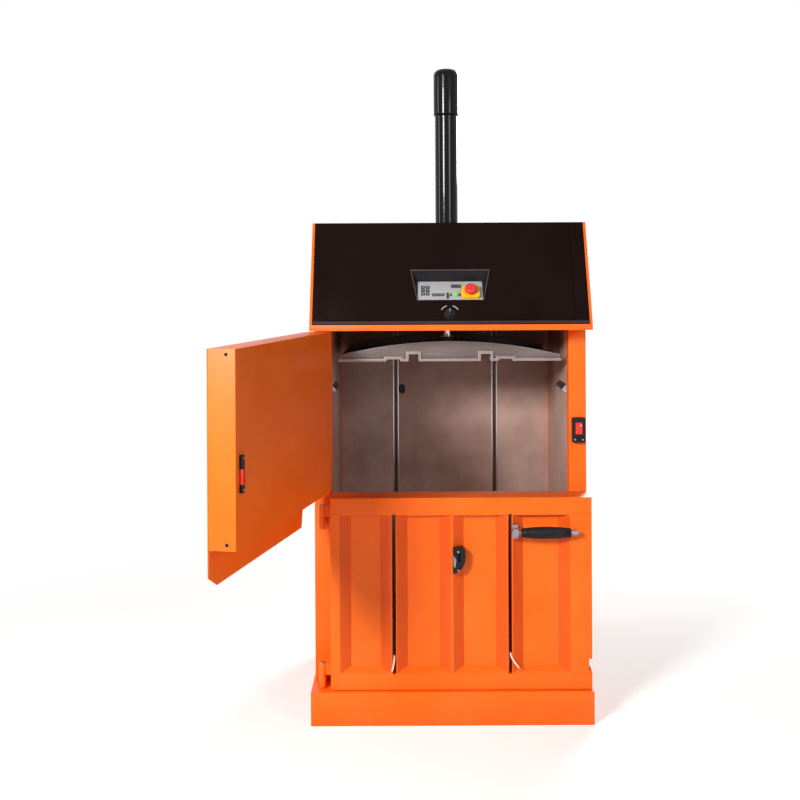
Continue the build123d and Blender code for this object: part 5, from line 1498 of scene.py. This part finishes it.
@dataclass
class BaleDoor:
    """The bale door: the lever's grip and bolts, the cutter's blade and the frame's welded mitres."""

    kit: Kit
    lever_y: float = -0.405
    lever_z: float = 0.620
    grip: Pair = (0.221, 0.379)
    # The grip's radius at its ends, and how much it swells in the middle
    grip_radius: float = 0.0143
    grip_swell: float = 0.0047
    grip_foot: tuple[Pair, ...] = (
        (0.0, 0.0), (0.0, 0.0125), (0.0015, 0.0148), (0.0055, 0.0150), (0.0065, 0.0138))
    grip_head: tuple[Pair, ...] = (
        (-0.0065, 0.0142), (-0.0055, 0.0154), (-0.0015, 0.0152), (0.0, 0.0128), (0.0, 0.0))
    groove_depth: float = 0.0011
    # Both bolts sit over the pivot, because the grip swings down past its other side
    bolt_xs: Pair = (0.1985, 0.2075)
    bolt_y: float = -0.389
    bolt_z: float = 0.637
    cutter_face: float = -0.393
    cutter_screw_x: float = 0.020
    cutter_screw_zs: Pair = (0.497, 0.556)
    blade_outline: tuple[Pair, ...] = ((0.0045, 0.512), (0.0105, 0.506), (0.0135, 0.532), (0.0045, 0.546))
    blade_heights: Pair = (-0.0006, 0.0010)
    # The frame's mitres are welded at the ends of its top and its bottom rail
    weld_spans: tuple[Pair, Pair] = ((-0.3905, -0.3645), (0.3835, 0.4490))
    weld_y: float = -0.3755
    weld_zs: Pair = (0.6745, 0.1595)

    def build(self) -> None:
        """Make all pieces."""
        kit = self.kit
        grip = kit.piece("lever_grip_moulded", self.grip_body, "latch_lever", "black_plastic",
                         smooth=CORNER_ANGLE)
        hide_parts("lever_grip")
        kit.screws("bracket_bolts", seats(self.bolt_xs, self.bolt_y, (self.bolt_z,), FRONT),
                   Head.HEX_BOLT, 0.0025, "bale_door", seed=17)
        kit.piece("cutter_blade", self.blade, "bale_door", "zinc_steel", rounding=0.0003)
        kit.screws("cutter_screws", seats((self.cutter_screw_x,), self.cutter_face, self.cutter_screw_zs,
                                          FRONT), Head.BUTTON, 0.0034, "bale_door", seed=19)
        kit.weld("door_frame_welds", [
            (Vector((low, self.weld_y, z)), Vector((high, self.weld_y, z)))
            for z in self.weld_zs for low, high in self.weld_spans], 0.0011, "bale_door", "orange_paint", 6)

    def grip_body(self, work: Work) -> None:
        """Add a turned grip that swells in the middle, with three grooves and a collar at each end.

        Args:
            work: The mesh that takes it.
        """
        low, high = self.grip
        span = high - low
        profile = list(self.grip_foot) + self.grooves((0.07, 0.10, 0.13))
        profile += [(share * span, self.swell(share)) for share in (0.2, 0.3, 0.4, 0.5, 0.6, 0.7, 0.8)]
        profile += self.grooves((0.86, 0.89, 0.92))
        profile += [(span + along, radius) for along, radius in self.grip_head]
        lathe(work, Vector((low, self.lever_y, self.lever_z)), ACROSS, profile, 36)

    def grooves(self, shares: Iterable[float]) -> list[Pair]:
        """Lay out grooves round the grip.

        Args:
            shares: Where each one starts, as a share of the grip's length.

        Returns:
            Their part of the grip's profile.
        """
        span = self.grip[1] - self.grip[0]
        profile = []
        for share in shares:
            start, radius = share * span, self.swell(share)
            profile += [(start, radius), (start + 0.0008, radius - self.groove_depth),
                        (start + 0.0022, radius - self.groove_depth), (start + 0.003, radius)]
        return profile

    def swell(self, share: float) -> float:
        """The grip's radius so far along it."""
        return self.grip_radius + self.grip_swell * math.sin(math.pi * share) ** 0.8

    def blade(self, work: Work) -> None:
        """The cutter's steel blade, which stands in its mouth."""
        place = Placement(Vector((0, self.cutter_face, 0)), ACROSS, UP)
        slab(work, place, self.blade_outline, *self.blade_heights)


@dataclass
class Interlock:
    """The door switch on the right post: its screws and its small white lamp."""

    kit: Kit
    screw_xs: Pair = (0.4105, 0.4365)
    screw_y: float = -0.282
    screw_z: float = 0.899
    lamp_foot: Point = (0.430, -0.2832, 0.946)
    lamp_profile: tuple[Pair, ...] = ((0, 0), (0, 0.0026), (0.0008, 0.0026), (0.0018, 0.0016), (0.0021, 0))

    def build(self) -> None:
        """Make both pieces."""
        self.kit.screws("interlock_screws", seats(self.screw_xs, self.screw_y, (self.screw_z,), FRONT),
                        Head.BUTTON, 0.0030, "frame", seed=21)
        self.kit.piece("interlock_lamp", self.lamp, "frame", "grey_plastic", "indicator")

    def lamp(self, work: Work) -> None:
        """The lamp's low dome."""
        lathe(work, Vector(self.lamp_foot), FRONT, self.lamp_profile, 20)


@dataclass
class Carcass:
    """The fixed body: pale beads on the back wall's strap channels, which are painted highlights, and the
    fasteners all round.
    """

    kit: Kit
    wall_face: float = 0.340
    channel_edges: Pair = (0.180, 0.194)
    lip: Pair = (0.0032, 0.0018)
    lip_span: Pair = (0.140, 1.240)
    lip_sunk: float = -0.0005
    # Screws of the rear panel: a column up each side, and a row at its foot and at its head
    panel_face: float = 0.387
    column_xs: Pair = (-0.378, 0.378)
    column_foot: float = 0.150
    column_pitch: float = 0.178
    column_screws: int = 7
    row_xs: tuple[float, ...] = (-0.19, 0.0, 0.19)
    row_zs: Pair = (0.124, 1.248)
    post_side: float = 0.450
    post_bolt_y: float = 0.357
    post_bolt_zs: tuple[float, ...] = (0.16, 0.52, 0.88, 1.22)

    def build(self) -> None:
        """Make all pieces."""
        kit = self.kit
        # The channels' pale beads are painted highlights
        kit.piece("channel_lips", self.lips, "frame", "zinc_steel", "rubbed_steel", 0.0004)
        heights = [self.column_foot + self.column_pitch * step for step in range(self.column_screws)]
        kit.screws("rear_panel_screws", seats(self.column_xs, self.panel_face, heights, REAR)
                   + seats(self.row_xs, self.panel_face, self.row_zs, REAR),
                   Head.BUTTON, 0.0055, "frame", seed=23)
        kit.screws("post_bolts", seats((-self.post_side,), self.post_bolt_y, self.post_bolt_zs, LEFT)
                   + seats((self.post_side,), self.post_bolt_y, self.post_bolt_zs, ACROSS),
                   Head.HEX_BOLT, 0.0068, "frame", seed=25)

    def lips(self, work: Work) -> None:
        """Add a pale bead along each edge of both strap channels, a painted highlight where light catches
        their edges.

        Args:
            work: The mesh that takes them.
        """
        width, height = self.lip
        place = Placement(Vector((0, self.wall_face, 0)), ACROSS, UP)
        low, high = self.lip_span
        for side in (-1, 1):
            for edge, away in zip(self.channel_edges, (-1, 1)):
                left, right = sorted((side * edge, side * (edge + away * width)))
                slab(work, place, box((left, low), (right, high)), self.lip_sunk, height)


@dataclass
class StrapTails:
    """The two loose strap ends that hang out of the bale door's slots."""

    finishes: FinishBook
    radius: float = 0.003
    # How finely the cord is drawn: round it, and along it between two points of its route
    round_steps: int = 3
    line_steps: int = 12
    spline_order: int = 3
    routes: dict[str, tuple[Point, ...]] = field(default_factory=lambda: {
        "strap_tail_left": (
            (-0.187, -0.330, 0.160), (-0.187, -0.330, 0.196), (-0.187, -0.363, 0.222),
            (-0.186, -0.387, 0.208), (-0.194, -0.389, 0.174)),
        "strap_tail_right": (
            (0.187, -0.330, 0.160), (0.187, -0.330, 0.200), (0.187, -0.363, 0.230),
            (0.190, -0.387, 0.212), (0.213, -0.388, 0.184)),
    })

    def build(self) -> None:
        """Make both tails."""
        for name, route in self.routes.items():
            curve = bpy.data.curves.new(name + "_cord", "CURVE")
            curve.dimensions = "3D"
            curve.bevel_depth = self.radius
            curve.bevel_resolution = self.round_steps
            curve.use_fill_caps = True
            line = curve.splines.new("NURBS")
            line.points.add(len(route) - 1)
            for point, place in zip(line.points, route):
                point.co = (*place, 1.0)
            line.order_u = self.spline_order
            line.use_endpoint_u = True
            line.resolution_u = self.line_steps
            length = self.length(curve)
            curve.materials.append(self.finishes.get("strap_polyester"))
            piece = bpy.data.objects.new(name + "_cord", curve)
            bpy.context.scene.collection.objects.link(piece)
            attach(piece, "bale_door")
            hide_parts(name)
            log.info("%s: %.0f mm", name, length * 1000)

    @staticmethod
    def length(curve: bpy.types.Curve) -> float:
        """Measure a curve's line.

        Args:
            curve: The curve, with its bevel.

        Returns:
            Its length in metres.
        """
        bare = curve.copy()
        bare.bevel_depth = 0.0
        holder = bpy.data.objects.new("measured_line", bare)
        bpy.context.scene.collection.objects.link(holder)
        bpy.context.view_layer.update()
        mesh = bpy.data.meshes.new_from_object(holder.evaluated_get(bpy.context.evaluated_depsgraph_get()))
        total = sum((mesh.vertices[edge.vertices[0]].co - mesh.vertices[edge.vertices[1]].co).length
                    for edge in mesh.edges)
        bpy.data.meshes.remove(mesh)
        bpy.data.objects.remove(holder)
        bpy.data.curves.remove(bare)
        return total


# ---------------------------------------------------------------- studio


@dataclass(frozen=True)
class Softbox:
    """One soft lamp: its place and target, its width and height in metres, its watts and its colour."""

    name: str
    place: Point
    target: Point
    size: Pair
    power: float
    colour: str

    def hang(self) -> None:
        """Hang it in the scene, turned to its target."""
        data = bpy.data.lights.new(self.name, "AREA")
        data.shape = "RECTANGLE"
        data.size, data.size_y = self.size
        data.energy = self.power
        data.color = linear(self.colour)[:3]
        lamp = bpy.data.objects.new(self.name, data)
        lamp.location = self.place
        lamp.rotation_euler = (Vector(self.target) - Vector(self.place)).to_track_quat("-Z", "Y").to_euler()
        bpy.context.scene.collection.objects.link(lamp)


@dataclass
class Studio:
    """A plain pale floor, soft lamps and the camera at the photograph's place."""

    camera_place: Point = (-0.1286, -4.292, 1.461)
    # In millimetres, on a sensor 36 mm wide
    lens: float = 54.8
    sensor: float = 36.0
    shift: Pair = (-0.01325, -0.1626)
    # How far the camera leans to its side, in degrees
    roll: float = 0.277
    floor_colour: str = "#F3F2F1"
    floor_lift: float = 0.34
    # Where the floor starts to fade into the background, and where it is gone
    floor_fade: Pair = (0.8, 2.6)
    floor_reach: float = 25.0
    floor_steps: int = 48
    world_level: float = 0.1
    # The key stands to the left of the camera, so that the open door shades the left of the machine
    lamps: tuple[Softbox, ...] = (
        Softbox("key_softbox", (-2.12, -3.97, 2.38), (0.0, -0.39, 0.85), (0.85, 0.8), 192.0, "#FFFDFA"),
        Softbox("fill_softbox", (2.3, -3.5, 2.2), (0.0, -0.2, 0.95), (0.9, 0.9), 30.0, "#FFFDFB"),
        Softbox("strip_side", (-3.3, -0.55, 2.0), (0.0, 0.0, 1.6), (0.3, 1.3), 20.0, "#FFFFFF"),
        Softbox("rear_softbox", (1.6, 3.6, 2.8), (0.0, 0.2, 0.9), (1.6, 1.6), 120.0, "#FFFFFF"))

    def build(self) -> None:
        """Make camera, floor, world and lamps."""
        self.camera()
        self.floor()
        self.world()
        for lamp in self.lamps:
            lamp.hang()

    @staticmethod
    def seen(tree: Tree) -> Socket:
        """Tell the rays that see a backdrop: those of the camera, of gloss and through glass.

        Args:
            tree: The tree that asks.

        Returns:
            A socket that is 1 for those rays, and else 0.
        """
        rays = add_node(tree, "ShaderNodeLightPath")
        either = add_node(tree, "ShaderNodeMath", {"operation": "MAXIMUM"}, {
            0: rays.outputs["Is Camera Ray"], 1: rays.outputs["Is Glossy Ray"]})
        return add_node(tree, "ShaderNodeMath", {"operation": "MAXIMUM"}, {
            0: either.outputs[0], 1: rays.outputs["Is Transmission Ray"]}).outputs[0]

    def floor(self) -> None:
        """Make the floor, which fades into the white background far from the object."""
        material, tree = new_tree("pale_floor")
        place = add_node(tree, "ShaderNodeTexCoord")
        away = add_node(tree, "ShaderNodeVectorMath", {"operation": "LENGTH"},
                        {0: place.outputs["Object"]})
        near, far = self.floor_fade
        fade = add_node(tree, "ShaderNodeMapRange", {"interpolation_type": "SMOOTHSTEP"}, {
            "Value": away.outputs["Value"], "From Min": near, "From Max": far})
        seen = self.seen(tree)
        matt = add_node(tree, "ShaderNodeBsdfDiffuse", inputs={"Color": linear(self.floor_colour)})
        lifted = add_node(tree, "ShaderNodeMath", {"operation": "MULTIPLY"}, {0: seen, 1: self.floor_lift})
        lift = add_node(tree, "ShaderNodeEmission", inputs={
            "Color": (1, 1, 1, 1), "Strength": lifted.outputs[0]})
        ground = add_node(tree, "ShaderNodeAddShader", inputs={0: matt.outputs[0], 1: lift.outputs[0]})
        white = add_node(tree, "ShaderNodeEmission", inputs={"Color": (1, 1, 1, 1), "Strength": 1.0})
        share = add_node(tree, "ShaderNodeMath", {"operation": "MULTIPLY"}, {
            0: fade.outputs["Result"], 1: seen})
        mixed = add_node(tree, "ShaderNodeMixShader", inputs={
            0: share.outputs[0], 1: ground.outputs[0], 2: white.outputs[0]})
        add_node(tree, "ShaderNodeOutputMaterial", inputs={"Surface": mixed.outputs[0]})
        mesh = mesh_from("floor", self.sheet)
        mesh.materials.append(material)
        link_mesh("floor", mesh)

    def sheet(self, work: Work) -> None:
        """Add the floor's round sheet.

        Args:
            work: The mesh that takes it.
        """
        turns = [2 * math.pi * step / self.floor_steps for step in range(self.floor_steps)]
        work.faces.new([work.verts.new((self.floor_reach * math.cos(turn), self.floor_reach * math.sin(turn),
                                        0.0)) for turn in turns])

    def world(self) -> None:
        """Make the light all round, which the camera and reflections see as white."""
        world = bpy.data.worlds.new("studio")
        world.use_nodes = True
        tree = world.node_tree
        tree.nodes.clear()
        level = add_node(tree, "ShaderNodeMapRange", inputs={
            "Value": self.seen(tree), "To Min": self.world_level, "To Max": 1.0})
        glow = add_node(tree, "ShaderNodeBackground", inputs={
            "Color": (1, 1, 1, 1), "Strength": level.outputs["Result"]})
        add_node(tree, "ShaderNodeOutputWorld", inputs={"Surface": glow.outputs[0]})
        bpy.context.scene.world = world

    def camera(self) -> None:
        """Set up the camera, level and shifted as the photograph's lens was."""
        data = bpy.data.cameras.new("photo_camera")
        data.sensor_width = self.sensor
        data.lens = self.lens
        data.shift_x, data.shift_y = self.shift
        data.clip_end = 100.0
        camera = bpy.data.objects.new("photo_camera", data)
        camera.location = self.camera_place
        camera.rotation_euler = (math.radians(90), math.radians(self.roll), 0.0)
        bpy.context.scene.collection.objects.link(camera)
        bpy.context.scene.camera = camera


def main() -> None:
    """Dress the baler, piece by piece, and light it."""
    logging.basicConfig(level=logging.INFO, format="%(name)s %(message)s")
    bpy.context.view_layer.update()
    bpy.context.scene.view_settings.view_transform = "Standard"
    kit = Kit()
    Studio().build()
    StrapTails(kit.finishes).build()
    Shell(kit.finishes).dress()
    for part in (ControlPanel, SelectorDial, Hood, Press, LoadingDoor, BaleDoor, Interlock, Carcass):
        part(kit).build()
    kit.fasteners.close()


if __name__ == "__main__":
    main()
